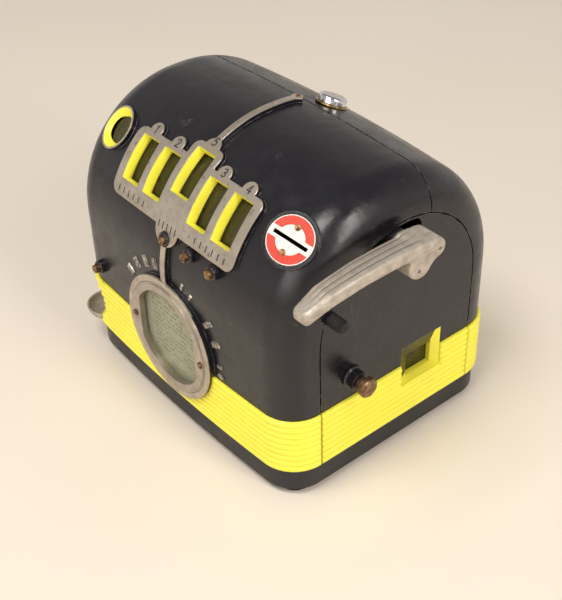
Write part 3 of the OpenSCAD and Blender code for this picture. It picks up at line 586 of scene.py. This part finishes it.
# Turned cast aluminium: fine rings from the lathe, dark casting pores, and smears of handling.
bezel_metal = new_finish("turned_cast_aluminium", Metallic=0.9)
here = add(bezel_metal, "TexCoord", out="Object")
smear = add(bezel_metal, "TexNoise", {"Vector": here, "Scale": 1 / (12 * mm), "Detail": 5.0})
pore = add(bezel_metal, "TexNoise", {"Vector": here, "Scale": 1 / (1.6 * mm), "Detail": 3.0})
from_ring = add(bezel_metal, "Mapping", {"Vector": here, "Location": (0, 0, -ring_high)})
lathe = add(bezel_metal, "TexWave",
            {"Vector": from_ring, "Scale": 400.0, "Distortion": 1.5, "Detail": 2.0},
            out="Fac", wave_type="RINGS", rings_direction="Y")
handled = add(bezel_metal, "MapRange", {0: smear, 1: 0.35, 2: 0.7})
pores = add(bezel_metal, "MapRange", {0: pore, 1: 0.68, 2: 0.74})
tint = add(bezel_metal, "Mix", {0: handled, 6: colour("#bdb4a8"), 7: colour("#a0978c")},
           out=2, data_type="RGBA")
tint = add(bezel_metal, "Mix", {0: pores, 6: tint, 7: colour("#6e665d")},
           out=2, data_type="RGBA")
gloss = add(bezel_metal, "MapRange", {0: smear, 1: 0.3, 2: 0.7, 3: 0.3, 4: 0.48})
rounded = add(bezel_metal, "Bevel", {"Radius": 0.5 * mm}, samples=5)
turned = add(bezel_metal, "Bump", {"Height": lathe, "Distance": 0.015 * mm, "Normal": rounded})
surface(bezel_metal, Base_Color=tint, Roughness=gloss, Normal=turned)
finish_node("card_bezel", bezel_metal)

# Tarnished brass: brown in the hollows and patches, with yellow metal where fingers rub.
old_brass = new_finish("tarnished_brass", Metallic=0.9)
here = add(old_brass, "TexCoord", out="Object")
tarnish = add(old_brass, "TexNoise", {"Vector": here, "Scale": 1 / (2.4 * mm), "Detail": 5.0})
pitting = add(old_brass, "TexNoise", {"Vector": here, "Scale": 1 / (0.6 * mm)})
browned = add(old_brass, "MapRange", {0: tarnish, 1: 0.38, 2: 0.62})
tint = add(old_brass, "Mix", {0: browned, 6: colour("#a8835a"), 7: colour("#4c3526")},
           out=2, data_type="RGBA")
gloss = add(old_brass, "MapRange", {0: tarnish, 1: 0.3, 2: 0.7, 3: 0.32, 4: 0.55})
rounded = add(old_brass, "Bevel", {"Radius": 0.5 * mm}, samples=5)
pitted = add(old_brass, "Bump", {"Height": pitting, "Distance": 0.03 * mm, "Normal": rounded})
surface(old_brass, Base_Color=tint, Roughness=gloss, Normal=pitted)
for name in ("house_button", "inner_draw_button", "outer_draw_button", "gum_button",
             "bezel_screws", "coin_disc_screws", "house_brake", "inner_draw_brake",
             "outer_draw_brake"):
    finish_node(name, old_brass)

# Aged card: tan, foxed, matt. Its lines of plain dashes are 4.2 mm apart.
card_paper = new_finish("aged_paper_card", IOR=1.45)
here = add(card_paper, "TexCoord", out="Object")
card_x, card_z = (add(card_paper, "SeparateXYZ", {0: here}, out=axis) for axis in ("X", "Z"))
row = add(card_paper, "Math", {0: card_z, 1: 4.2 * mm}, operation="DIVIDE")
row_id = add(card_paper, "Math", {0: row}, operation="FLOOR")
in_row = add(card_paper, "Math", {0: row}, operation="FRACT")
along_row = add(card_paper, "Math", {0: card_x, 1: 330.0}, operation="MULTIPLY")
row_shift = add(card_paper, "Math", {0: row_id, 1: 7.31}, operation="MULTIPLY")
row_place = add(card_paper, "CombineXYZ", {0: along_row, 1: row_shift})
word = add(card_paper, "TexNoise", {"Vector": row_place, "Scale": 1.0, "Detail": 0.0})
print_half = 0.027
dashes = within(card_paper, (in_row, 0.38, 0.72), edge=0.03,
                times=add(card_paper, "MapRange", {0: word, 1: 0.44, 2: 0.5}))
dashes = within(card_paper, (card_x, -print_half, print_half),
                (card_z, ring_high - print_half, ring_high + print_half), times=dashes)
foxing = add(card_paper, "TexNoise", {"Vector": here, "Scale": 1 / (14 * mm), "Detail": 5.0})
fibre = add(card_paper, "TexNoise", {"Vector": here, "Scale": 1 / (0.4 * mm), "Detail": 3.0})
foxed = add(card_paper, "MapRange", {0: foxing, 1: 0.4, 2: 0.72})
faded = add(card_paper, "Math", {0: dashes, 1: 0.75}, operation="MULTIPLY")
tint = add(card_paper, "Mix", {0: foxed, 6: colour("#c0b892"), 7: colour("#9c956c")},
           out=2, data_type="RGBA")
tint = add(card_paper, "Mix", {0: faded, 6: tint, 7: colour("#4c4f4a")}, out=2, data_type="RGBA")
gloss = add(card_paper, "MapRange", {0: foxing, 1: 0.3, 2: 0.7, 3: 0.6, 4: 0.75})
surface(card_paper, Base_Color=tint, Roughness=gloss,
        Normal=add(card_paper, "Bump", {"Height": fibre, "Distance": 0.03 * mm}))
finish_node("rule_card", card_paper)

# Sheet glass: clear and shiny, with a light film of breath and dust.
sheet_glass = new_finish("clear_sheet_glass", IOR=1.5, Alpha=0.22)
here = add(sheet_glass, "TexCoord", out="Object")
breath = add(sheet_glass, "TexNoise", {"Vector": here, "Scale": 1 / (20 * mm), "Detail": 4.0})
tint = add(sheet_glass, "Mix", {0: breath, 6: colour("#8f9c93"), 7: colour("#a9b0a4")},
           out=2, data_type="RGBA")
gloss = add(sheet_glass, "MapRange", {0: breath, 1: 0.3, 2: 0.7, 3: 0.03, 4: 0.09})
surface(sheet_glass, Base_Color=tint, Roughness=gloss)
finish_node("card_glass", sheet_glass)

# ---- Window glasses ----
# A bent amber-olive sheet lies behind the five windows. Small flat pieces of the same glass
# close the gum window and the coin window. It is glossy, with wipe marks across.
smoked_glass = new_finish("smoked_olive_glass", IOR=1.5, Alpha=0.5)
here = add(smoked_glass, "TexCoord", out="Object")
drawn = add(smoked_glass, "Mapping", {"Vector": here, "Scale": (1, 0.4, 0.4)})
wipe = add(smoked_glass, "TexNoise", {"Vector": drawn, "Scale": 1 / (16 * mm), "Detail": 4.0})
wiped = add(smoked_glass, "MapRange", {0: wipe, 1: 0.3, 2: 0.7})
tint = add(smoked_glass, "Mix", {0: wiped, 6: colour("#3a3818"), 7: colour("#55512a")},
           out=2, data_type="RGBA")
gloss = add(smoked_glass, "MapRange", {0: wipe, 1: 0.3, 2: 0.7, 3: 0.04, 4: 0.12})
surface(smoked_glass, Base_Color=tint, Roughness=gloss)
for name in ("reel_window_glass", "gum_window_glass", "coin_window_glass"):
    finish_node(name, smoked_glass)

# ---- Coin entry ----
# The disc around the coin slot is white vitreous enamel on steel, with a red band fired on in
# two arcs that stop short of the slot's ends. Two brass screws hold it. The enamel is hard and
# very shiny, and dark steel shows where it has chipped.
fired_enamel = new_finish("vitreous_enamel", IOR=1.5, Coat_Weight=0.4)
here = add(fired_enamel, "TexCoord", out="Object")
coin_middle = Vector((0.1021, -0.0732, 0.2037))
coin_out = Vector((0.35, -0.64, 0.684)).normalized()
slot_turn = -20
tilt, spin = math.acos(coin_out.z), math.atan2(coin_out.y, coin_out.x)
coin_frame = (Matrix.Rotation(spin, 3, "Z") @ Matrix.Rotation(tilt, 3, "Y")
              @ Matrix.Rotation(math.radians(slot_turn), 3, "Z"))
slot_way, cross_way = coin_frame @ Vector((0, 1, 0)), coin_frame @ Vector((1, 0, 0))
red_inner, red_outer, slot_margin = 0.0098, 0.0157, 0.0036
from_coin = add(fired_enamel, "VectorMath", {0: here, 1: coin_middle}, operation="SUBTRACT")
along_slot, cross_slot = (add(fired_enamel, "VectorMath", {0: from_coin, 1: way}, out="Value",
                              operation="DOT_PRODUCT") for way in (slot_way, cross_way))
on_disc = add(fired_enamel, "CombineXYZ", {0: along_slot, 1: cross_slot})
coin_far = add(fired_enamel, "VectorMath", {0: on_disc}, out="Value", operation="LENGTH")
off_slot = add(fired_enamel, "Math", {0: cross_slot}, operation="ABSOLUTE")
red_band = within(fired_enamel, (coin_far, red_inner, red_outer), (off_slot, slot_margin, None))
chalk = add(fired_enamel, "TexNoise", {"Vector": here, "Scale": 1 / (5 * mm), "Detail": 4.0})
chip = add(fired_enamel, "TexNoise", {"Vector": here, "Scale": 1 / (2.5 * mm), "Detail": 3.0})
flow = add(fired_enamel, "TexNoise", {"Vector": here, "Scale": 1 / (6 * mm)})
chipped = add(fired_enamel, "MapRange", {0: chip, 1: 0.72, 2: 0.74})
white = add(fired_enamel, "Mix", {0: chalk, 6: colour("#efe9e2"), 7: colour("#ddd5cb")},
            out=2, data_type="RGBA")
red = add(fired_enamel, "Mix", {0: chalk, 6: colour("#d9503e"), 7: colour("#c23d33")},
          out=2, data_type="RGBA")
tint = add(fired_enamel, "Mix", {0: red_band, 6: white, 7: red}, out=2, data_type="RGBA")
tint = add(fired_enamel, "Mix", {0: chipped, 6: tint, 7: colour("#4a3a34")},
           out=2, data_type="RGBA")
gloss = add(fired_enamel, "MapRange", {0: chalk, 1: 0.3, 2: 0.7, 3: 0.14, 4: 0.28})
rounded = add(fired_enamel, "Bevel", {"Radius": 0.4 * mm}, samples=4)
flowed = add(fired_enamel, "Bump", {"Height": flow, "Distance": 0.06 * mm, "Normal": rounded})
surface(fired_enamel, Base_Color=tint, Roughness=gloss, Normal=flowed)
finish_node("coin_entry_disc", fired_enamel)

# ---- Rivet and lock on the top ----
# A copper-coloured rivet closes the end of the polished bar. The lock has a thin knurled brass
# flange and a domed chromed cap that turns.

# Hammered copper: warm and patchy, browned by air.
copper = new_finish("copper_rivet", Metallic=1.0)
here = add(copper, "TexCoord", out="Object")
patina = add(copper, "TexNoise", {"Vector": here, "Scale": 1 / (1.5 * mm), "Detail": 4.0})
tint = add(copper, "Mix", {0: patina, 6: colour("#b4703f"), 7: colour("#6d4228")},
           out=2, data_type="RGBA")
gloss = add(copper, "MapRange", {0: patina, 1: 0.3, 2: 0.7, 3: 0.3, 4: 0.5})
surface(copper, Base_Color=tint, Roughness=gloss,
        Normal=add(copper, "Bump", {"Height": patina, "Distance": 0.05 * mm}))
finish_node("trim_rivet", copper)

# Knurled brass: yellow on its ridges, dull green-brown between them.
flange_brass = new_finish("knurled_brass", Metallic=1.0)
here = add(flange_brass, "TexCoord", out="Object")
rubbing = add(flange_brass, "TexNoise", {"Vector": here, "Scale": 1 / (3 * mm), "Detail": 5.0})
dulled = add(flange_brass, "MapRange", {0: rubbing, 1: 0.4, 2: 0.65})
tint = add(flange_brass, "Mix", {0: dulled, 6: colour("#c2ab72"), 7: colour("#7a6a42")},
           out=2, data_type="RGBA")
gloss = add(flange_brass, "MapRange", {0: rubbing, 1: 0.3, 2: 0.7, 3: 0.28, 4: 0.45})
rounded = add(flange_brass, "Bevel", {"Radius": 0.3 * mm}, samples=4)
uneven = add(flange_brass, "Bump",
             {"Height": rubbing, "Distance": 0.05 * mm, "Normal": rounded})
surface(flange_brass, Base_Color=tint, Roughness=gloss, Normal=uneven)
finish_node("lock_flange", flange_brass)

# Chromium plate: near-mirror, blue-white, with a haze of fine scratches.
chrome = new_finish("chromium_plate", Metallic=1.0)
here = add(chrome, "TexCoord", out="Object")
haze = add(chrome, "TexNoise", {"Vector": here, "Scale": 1 / (8 * mm), "Detail": 5.0})
tint = add(chrome, "Mix", {0: haze, 6: colour("#e2e2e6"), 7: colour("#c9c9cf")},
           out=2, data_type="RGBA")
gloss = add(chrome, "MapRange", {0: haze, 1: 0.3, 2: 0.7, 3: 0.08, 4: 0.2})
rounded = add(chrome, "Bevel", {"Radius": 0.6 * mm}, samples=5)
uneven = add(chrome, "Bump", {"Height": haze, "Distance": 0.03 * mm, "Normal": rounded})
surface(chrome, Base_Color=tint, Roughness=gloss, Normal=uneven)
finish_node("lock_cap", chrome)

# ---- Push buttons and side plunger ----
# Turned brass plungers run in black moulded bushes. The side plunger has a larger flat knob,
# its face dulled by thumbs.

# Moulded bakelite: black-brown and glossy, slightly clouded.
bush_plastic = new_finish("black_bakelite", IOR=1.54)
here = add(bush_plastic, "TexCoord", out="Object")
mould = add(bush_plastic, "TexNoise", {"Vector": here, "Scale": 1 / (3 * mm), "Detail": 4.0})
tint = add(bush_plastic, "Mix", {0: mould, 6: colour("#121114"), 7: colour("#221f22")},
           out=2, data_type="RGBA")
gloss = add(bush_plastic, "MapRange", {0: mould, 1: 0.3, 2: 0.7, 3: 0.14, 4: 0.32})
rounded = add(bush_plastic, "Bevel", {"Radius": 0.8 * mm}, samples=6)
uneven = add(bush_plastic, "Bump", {"Height": mould, "Distance": 0.03 * mm, "Normal": rounded})
surface(bush_plastic, Base_Color=tint, Roughness=gloss, Normal=uneven)
finish_node("button_bushes", bush_plastic)
finish_node("plunger_bush", bush_plastic)

# Thumbed brass: brown and dull all over, with soft edges.
knob_brass = new_finish("thumbed_brass", Metallic=0.85)
here = add(knob_brass, "TexCoord", out="Object")
thumbed = add(knob_brass, "TexNoise", {"Vector": here, "Scale": 1 / (3.5 * mm), "Detail": 5.0})
pitting = add(knob_brass, "TexNoise", {"Vector": here, "Scale": 1 / (0.7 * mm)})
browned = add(knob_brass, "MapRange", {0: thumbed, 1: 0.4, 2: 0.65})
tint = add(knob_brass, "Mix", {0: browned, 6: colour("#97795a"), 7: colour("#5c4636")},
           out=2, data_type="RGBA")
gloss = add(knob_brass, "MapRange", {0: thumbed, 1: 0.3, 2: 0.7, 3: 0.36, 4: 0.55})
rounded = add(knob_brass, "Bevel", {"Radius": 0.6 * mm}, samples=5)
pitted = add(knob_brass, "Bump", {"Height": pitting, "Distance": 0.05 * mm, "Normal": rounded})
surface(knob_brass, Base_Color=tint, Roughness=gloss, Normal=pitted)
finish_node("coin_plunger", knob_brass)

# ---- Lever ----
# The hand grip and its hoof are one sand casting in aluminium, filed and buffed, with shallow
# flutes along the top of the grip. Two pins fix it to the steel plate inside. The gum spout is
# cast and buffed in the same way.

# Buffed cast aluminium: warm grey and half dull, with file scratches and dark nicks.
grip_metal = new_finish("buffed_cast_aluminium", Metallic=0.55)
here = add(grip_metal, "TexCoord", out="Object")
gx, gy, gz = (add(grip_metal, "SeparateXYZ", {0: here}, out=axis) for axis in ("X", "Y", "Z"))
grip_middle_x, grip_middle_y, grip_reach = 0.149, -0.040, 0.047
grip_top, grip_sag = 0.1986, -0.0044
bow_at = add(grip_metal, "Math", {0: gy, 1: 1 / grip_reach, 2: -grip_middle_y / grip_reach},
             operation="MULTIPLY_ADD")
bow = add(grip_metal, "Math", {0: bow_at, 1: 2.0}, operation="POWER")
middle_high = add(grip_metal, "Math", {0: bow, 1: grip_sag, 2: grip_top},
                  operation="MULTIPLY_ADD")
above_middle = add(grip_metal, "Math", {0: gz, 1: middle_high}, operation="SUBTRACT")
grip_half = add(grip_metal, "MapRange", {0: gy, 1: -0.104, 2: -0.06, 3: 0.0066, 4: 0.0105})
off_middle = add(grip_metal, "Math", {0: gx, 1: grip_middle_x}, operation="SUBTRACT")
across_grip = add(grip_metal, "Math", {0: off_middle, 1: grip_half}, operation="DIVIDE")
to_edge = add(grip_metal, "Math", {0: across_grip}, operation="ABSOLUTE")
flute_turn = add(grip_metal, "Math", {0: across_grip, 1: 5.6, 2: 0.5}, operation="MULTIPLY_ADD")
flute_sine = add(grip_metal, "Math", {0: flute_turn}, operation="SINE")
flute_wave = add(grip_metal, "Math", {0: flute_sine}, operation="ABSOLUTE")
flutes = add(grip_metal, "MapRange", {0: flute_wave, 1: 0.75, 2: 0.0})
for value, gone, full in ((gy, -0.100, -0.090), (gy, -0.006, -0.020),
                          (above_middle, 0.0002, 0.0018), (to_edge, 0.95, 0.80)):
    fade = add(grip_metal, "MapRange", {0: value, 1: gone, 2: full})
    flutes = add(grip_metal, "Math", {0: flutes, 1: fade}, operation="MULTIPLY")
cast_skin = add(grip_metal, "TexNoise", {"Vector": here, "Scale": 1 / (7 * mm), "Detail": 6.0})
drawn = add(grip_metal, "Mapping", {"Vector": here, "Scale": (1, 0.08, 1)})
scratch = add(grip_metal, "TexNoise", {"Vector": drawn, "Scale": 1 / (2.2 * mm), "Detail": 3.0})
nick = add(grip_metal, "TexNoise", {"Vector": here, "Scale": 1 / (2.2 * mm), "Detail": 3.0})
skin = add(grip_metal, "MapRange", {0: cast_skin, 1: 0.35, 2: 0.7})
scratched = add(grip_metal, "MapRange", {0: scratch, 1: 0.5, 2: 0.62, 4: 0.35})
nicked = add(grip_metal, "MapRange", {0: nick, 1: 0.70, 2: 0.74, 4: 0.8})
# the colour is mixed darker along the hollows of the flutes, as well as at the nicks
flute_hollows_darker = add(grip_metal, "MapRange", {0: flutes, 1: 0.45, 2: 1.0, 4: 0.6})
nicks_and_flute_hollows = add(grip_metal, "Math", {0: flute_hollows_darker, 1: nicked}, operation="MAXIMUM")
tint = colour("#c3baae")
for share, shade in ((skin, "#a89e92"), (scratched, "#8f867a"), (nicks_and_flute_hollows, "#776e62")):
    tint = add(grip_metal, "Mix", {0: share, 6: tint, 7: colour(shade)}, out=2, data_type="RGBA")
gloss = add(grip_metal, "MapRange", {0: cast_skin, 1: 0.3, 2: 0.7, 3: 0.42, 4: 0.6})
rounded = add(grip_metal, "Bevel", {"Radius": 1 * mm}, samples=6)
ridge = add(grip_metal, "Math", {0: 1.0, 1: flutes}, operation="SUBTRACT")
fluted = add(grip_metal, "Bump", {"Height": ridge, "Distance": 0.6 * mm, "Normal": rounded})
filed = add(grip_metal, "Bump", {"Height": scratch, "Distance": 0.06 * mm, "Normal": fluted})
surface(grip_metal, Base_Color=tint, Roughness=gloss, Normal=filed)
finish_node("handle", grip_metal)
finish_node("gum_spout", grip_metal)
cast_edges = nodes["handle"].modifiers.new("cast_edges", "REMESH")
cast_edges.mode = "VOXEL"
cast_edges.voxel_size = 0.0009
cast_edges.use_smooth_shade = True
filed_edges = nodes["handle"].modifiers.new("filed", "SMOOTH")
filed_edges.factor = 0.5
filed_edges.iterations = 14

# Drawn aluminium pin: grey, its end cut and left dull.
pin_metal = new_finish("aluminium_pin", Metallic=0.8)
here = add(pin_metal, "TexCoord", out="Object")
pin_skin = add(pin_metal, "TexNoise", {"Vector": here, "Scale": 1 / (1.2 * mm), "Detail": 3.0})
tint = add(pin_metal, "Mix", {0: pin_skin, 6: colour("#8f867b"), 7: colour("#6f675d")},
           out=2, data_type="RGBA")
gloss = add(pin_metal, "MapRange", {0: pin_skin, 1: 0.3, 2: 0.7, 3: 0.4, 4: 0.6})
surface(pin_metal, Base_Color=tint, Roughness=gloss)
finish_node("handle_pins", pin_metal)

# Ground steel: bright and cool, with grinding marks along the shaft.
ground_steel = new_finish("ground_steel", Metallic=1.0)
here = add(ground_steel, "TexCoord", out="Object")
drawn = add(ground_steel, "Mapping", {"Vector": here, "Scale": (0.1, 1, 1)})
grind = add(ground_steel, "TexNoise", {"Vector": drawn, "Scale": 1 / (4 * mm), "Detail": 4.0})
tint = add(ground_steel, "Mix", {0: grind, 6: colour("#c2c3c4"), 7: colour("#96979a")},
           out=2, data_type="RGBA")
gloss = add(ground_steel, "MapRange", {0: grind, 1: 0.3, 2: 0.7, 3: 0.2, 4: 0.36})
rounded = add(ground_steel, "Bevel", {"Radius": 0.3 * mm}, samples=4)
ground = add(ground_steel, "Bump", {"Height": grind, "Distance": 0.02 * mm, "Normal": rounded})
surface(ground_steel, Base_Color=tint, Roughness=gloss, Normal=ground)
for name in ("reel_shaft", "shaft_collars", "brake_rod"):
    finish_node(name, ground_steel)

# Spring wire: 1.25 mm from turn to turn, with a painted highlight on each turn's back and painted
# shade between turns.
spring_steel = new_finish("spring_wire", Metallic=1.0)
here = add(spring_steel, "TexCoord", out="Object")
spring_x, spring_z, spring_pitch = 0.1184, 0.166, 1.25 * mm
wx, wy, wz = (add(spring_steel, "SeparateXYZ", {0: here}, out=axis) for axis in ("X", "Y", "Z"))
wire_x = add(spring_steel, "Math", {0: wx, 1: spring_x}, operation="SUBTRACT")
wire_z = add(spring_steel, "Math", {0: wz, 1: spring_z}, operation="SUBTRACT")
winding = add(spring_steel, "Math", {0: wire_z, 1: wire_x}, operation="ARCTAN2")
turns = add(spring_steel, "Math", {0: winding, 1: 1 / math.tau}, operation="MULTIPLY")
coils = add(spring_steel, "Math", {0: wy, 1: 1 / spring_pitch, 2: turns},
            operation="MULTIPLY_ADD")
coil = add(spring_steel, "Math", {0: coils}, operation="FRACT")
half_turn = add(spring_steel, "Math", {0: coil, 1: math.pi}, operation="MULTIPLY")
coil_shape_and_shade = add(spring_steel, "Math", {0: half_turn}, operation="SINE")
# painted highlight on the back of each turn and painted shade between turns; the same wave also
# sets gloss and bump
tint = add(spring_steel, "Mix", {0: coil_shape_and_shade, 6: colour("#2b2a29"), 7: colour("#a9aaab")},
           out=2, data_type="RGBA")
gloss = add(spring_steel, "MapRange", {0: coil_shape_and_shade, 3: 0.6, 4: 0.3})
surface(spring_steel, Base_Color=tint, Roughness=gloss,
        Normal=add(spring_steel, "Bump", {"Height": coil_shape_and_shade, "Distance": 0.5 * mm}))
finish_node("lever_spring", spring_steel)

# ---- Reels ----
# Each reel is a tin drum with a printed paper strip around it: a row of twenty plain card
# shapes, each with a lozenge in one of two inks, faded to cream.
strip_paper = new_finish("printed_paper_strip", IOR=1.45)
here = add(strip_paper, "TexCoord", out="Object")
shaft_y, shaft_z = 0.0005, 0.126
cards_round, strip_wide, drum_radius = 20, 0.019, 0.0892
rx, ry, rz = (add(strip_paper, "SeparateXYZ", {0: here}, out=axis) for axis in ("X", "Y", "Z"))
drum_y = add(strip_paper, "Math", {0: ry, 1: shaft_y}, operation="SUBTRACT")
drum_z = add(strip_paper, "Math", {0: rz, 1: shaft_z}, operation="SUBTRACT")
reel_turn = add(strip_paper, "Math", {0: drum_z, 1: drum_y}, operation="ARCTAN2")
card_place = add(strip_paper, "Math", {0: reel_turn, 1: cards_round / math.tau},
                 operation="MULTIPLY")
card_id = add(strip_paper, "Math", {0: card_place}, operation="FLOOR")
in_place = add(strip_paper, "Math", {0: card_place}, operation="FRACT")
off_card = add(strip_paper, "Math", {0: in_place, 1: 0.5}, operation="SUBTRACT")
down_card = add(strip_paper, "Math", {0: off_card}, operation="ABSOLUTE")
reel_place = add(strip_paper, "Math", {0: rx, 1: pitch}, operation="DIVIDE")
reel_id = add(strip_paper, "Math", {0: reel_place}, operation="ROUND")
reel_middle = add(strip_paper, "Math", {0: reel_id, 1: pitch}, operation="MULTIPLY")
off_reel = add(strip_paper, "Math", {0: rx, 1: reel_middle}, operation="SUBTRACT")
on_strip = add(strip_paper, "Math", {0: off_reel, 1: strip_wide}, operation="DIVIDE")
over_card = add(strip_paper, "Math", {0: on_strip}, operation="ABSOLUTE")
in_card = within(strip_paper, (down_card, None, 0.44), (over_card, None, 0.44), edge=0.01)
slanted = add(strip_paper, "Math", {0: down_card, 1: 1.3, 2: over_card},
              operation="MULTIPLY_ADD")
lozenge = within(strip_paper, (slanted, None, 0.26), edge=0.01, times=in_card)
card_key = add(strip_paper, "CombineXYZ", {0: card_id, 1: reel_id, 2: 0.5})
chance = add(strip_paper, "TexWhiteNoise", {"Vector": card_key}, out="Value")
aged = add(strip_paper, "TexNoise", {"Vector": here, "Scale": 1 / (9 * mm), "Detail": 5.0})
drum_at = add(strip_paper, "CombineXYZ", {0: drum_y, 1: drum_z})
drum_far = add(strip_paper, "VectorMath", {0: drum_at}, out="Value", operation="LENGTH")
at_rim = within(strip_paper, (drum_far, drum_radius, None))
black_pip = within(strip_paper, (chance, 0.5, None), edge=0.001)
pip_ink = add(strip_paper, "Mix", {0: black_pip, 6: colour("#9c3a2c"), 7: colour("#2b2722")},
              out=2, data_type="RGBA")
gap_tone, card_tone, tin_tone = (
    add(strip_paper, "Mix", {0: aged, 6: colour(fresh), 7: colour(old)}, out=2, data_type="RGBA")
    for fresh, old in (("#8d7f55", "#7b6d46"), ("#d8caa0", "#c2b184"), ("#a39a86", "#7f776a")))
tint = add(strip_paper, "Mix", {0: in_card, 6: gap_tone, 7: card_tone}, out=2, data_type="RGBA")
tint = add(strip_paper, "Mix", {0: lozenge, 6: tint, 7: pip_ink}, out=2, data_type="RGBA")
tint = add(strip_paper, "Mix", {0: at_rim, 6: tin_tone, 7: tint}, out=2, data_type="RGBA")
metallic = add(strip_paper, "Math", {0: at_rim, 1: -0.8, 2: 0.8}, operation="MULTIPLY_ADD")
gloss = add(strip_paper, "MapRange", {0: aged, 1: 0.3, 2: 0.7, 3: 0.5, 4: 0.68})
surface(strip_paper, Base_Color=tint, Metallic=metallic, Roughness=gloss,
        Normal=add(strip_paper, "Bump", {"Height": aged, "Distance": 0.05 * mm}))
for name in ("reel_1", "reel_2", "reel_3", "reel_4", "reel_5"):
    finish_node(name, strip_paper)

# ---- Coin works and gum works ----
# Chutes, hopper and cash box are bent from tin plate that has gone dull. The last coin played
# lies behind its window, worn nearly smooth.

# Dull tin plate: soft grey, browned in stains, and a little wavy from bending.
dull_tin = new_finish("dull_tin_plate", Metallic=0.85)
here = add(dull_tin, "TexCoord", out="Object")
stain = add(dull_tin, "TexNoise", {"Vector": here, "Scale": 1 / (18 * mm), "Detail": 6.0})
bend = add(dull_tin, "TexNoise", {"Vector": here, "Scale": 1 / (30 * mm)})
stained = add(dull_tin, "MapRange", {0: stain, 1: 0.35, 2: 0.68})
tint = add(dull_tin, "Mix", {0: stained, 6: colour("#a8a291"), 7: colour("#6f6656")},
           out=2, data_type="RGBA")
gloss = add(dull_tin, "MapRange", {0: stain, 1: 0.3, 2: 0.7, 3: 0.38, 4: 0.6})
rounded = add(dull_tin, "Bevel", {"Radius": 0.4 * mm}, samples=4)
wavy = add(dull_tin, "Bump", {"Height": bend, "Distance": 0.3 * mm, "Normal": rounded})
surface(dull_tin, Base_Color=tint, Roughness=gloss, Normal=wavy)
for name in ("coin_chute", "cash_box", "gum_hopper"):
    finish_node(name, dull_tin)

# Worn cupronickel: warm grey, rubbed smooth, with low dents and no mark left on it.
worn_coin = new_finish("worn_cupronickel", Metallic=1.0)
here = add(worn_coin, "TexCoord", out="Object")
handled = add(worn_coin, "TexNoise", {"Vector": here, "Scale": 1 / (4 * mm), "Detail": 5.0})
dent = add(worn_coin, "TexNoise", {"Vector": here, "Scale": 1 / (2.5 * mm), "Detail": 3.0})
tint = add(worn_coin, "Mix", {0: handled, 6: colour("#b0a898"), 7: colour("#857c6d")},
           out=2, data_type="RGBA")
gloss = add(worn_coin, "MapRange", {0: handled, 1: 0.3, 2: 0.7, 3: 0.3, 4: 0.5})
surface(worn_coin, Base_Color=tint, Roughness=gloss,
        Normal=add(worn_coin, "Bump", {"Height": dent, "Distance": 0.25 * mm}))
finish_node("last_coin", worn_coin)
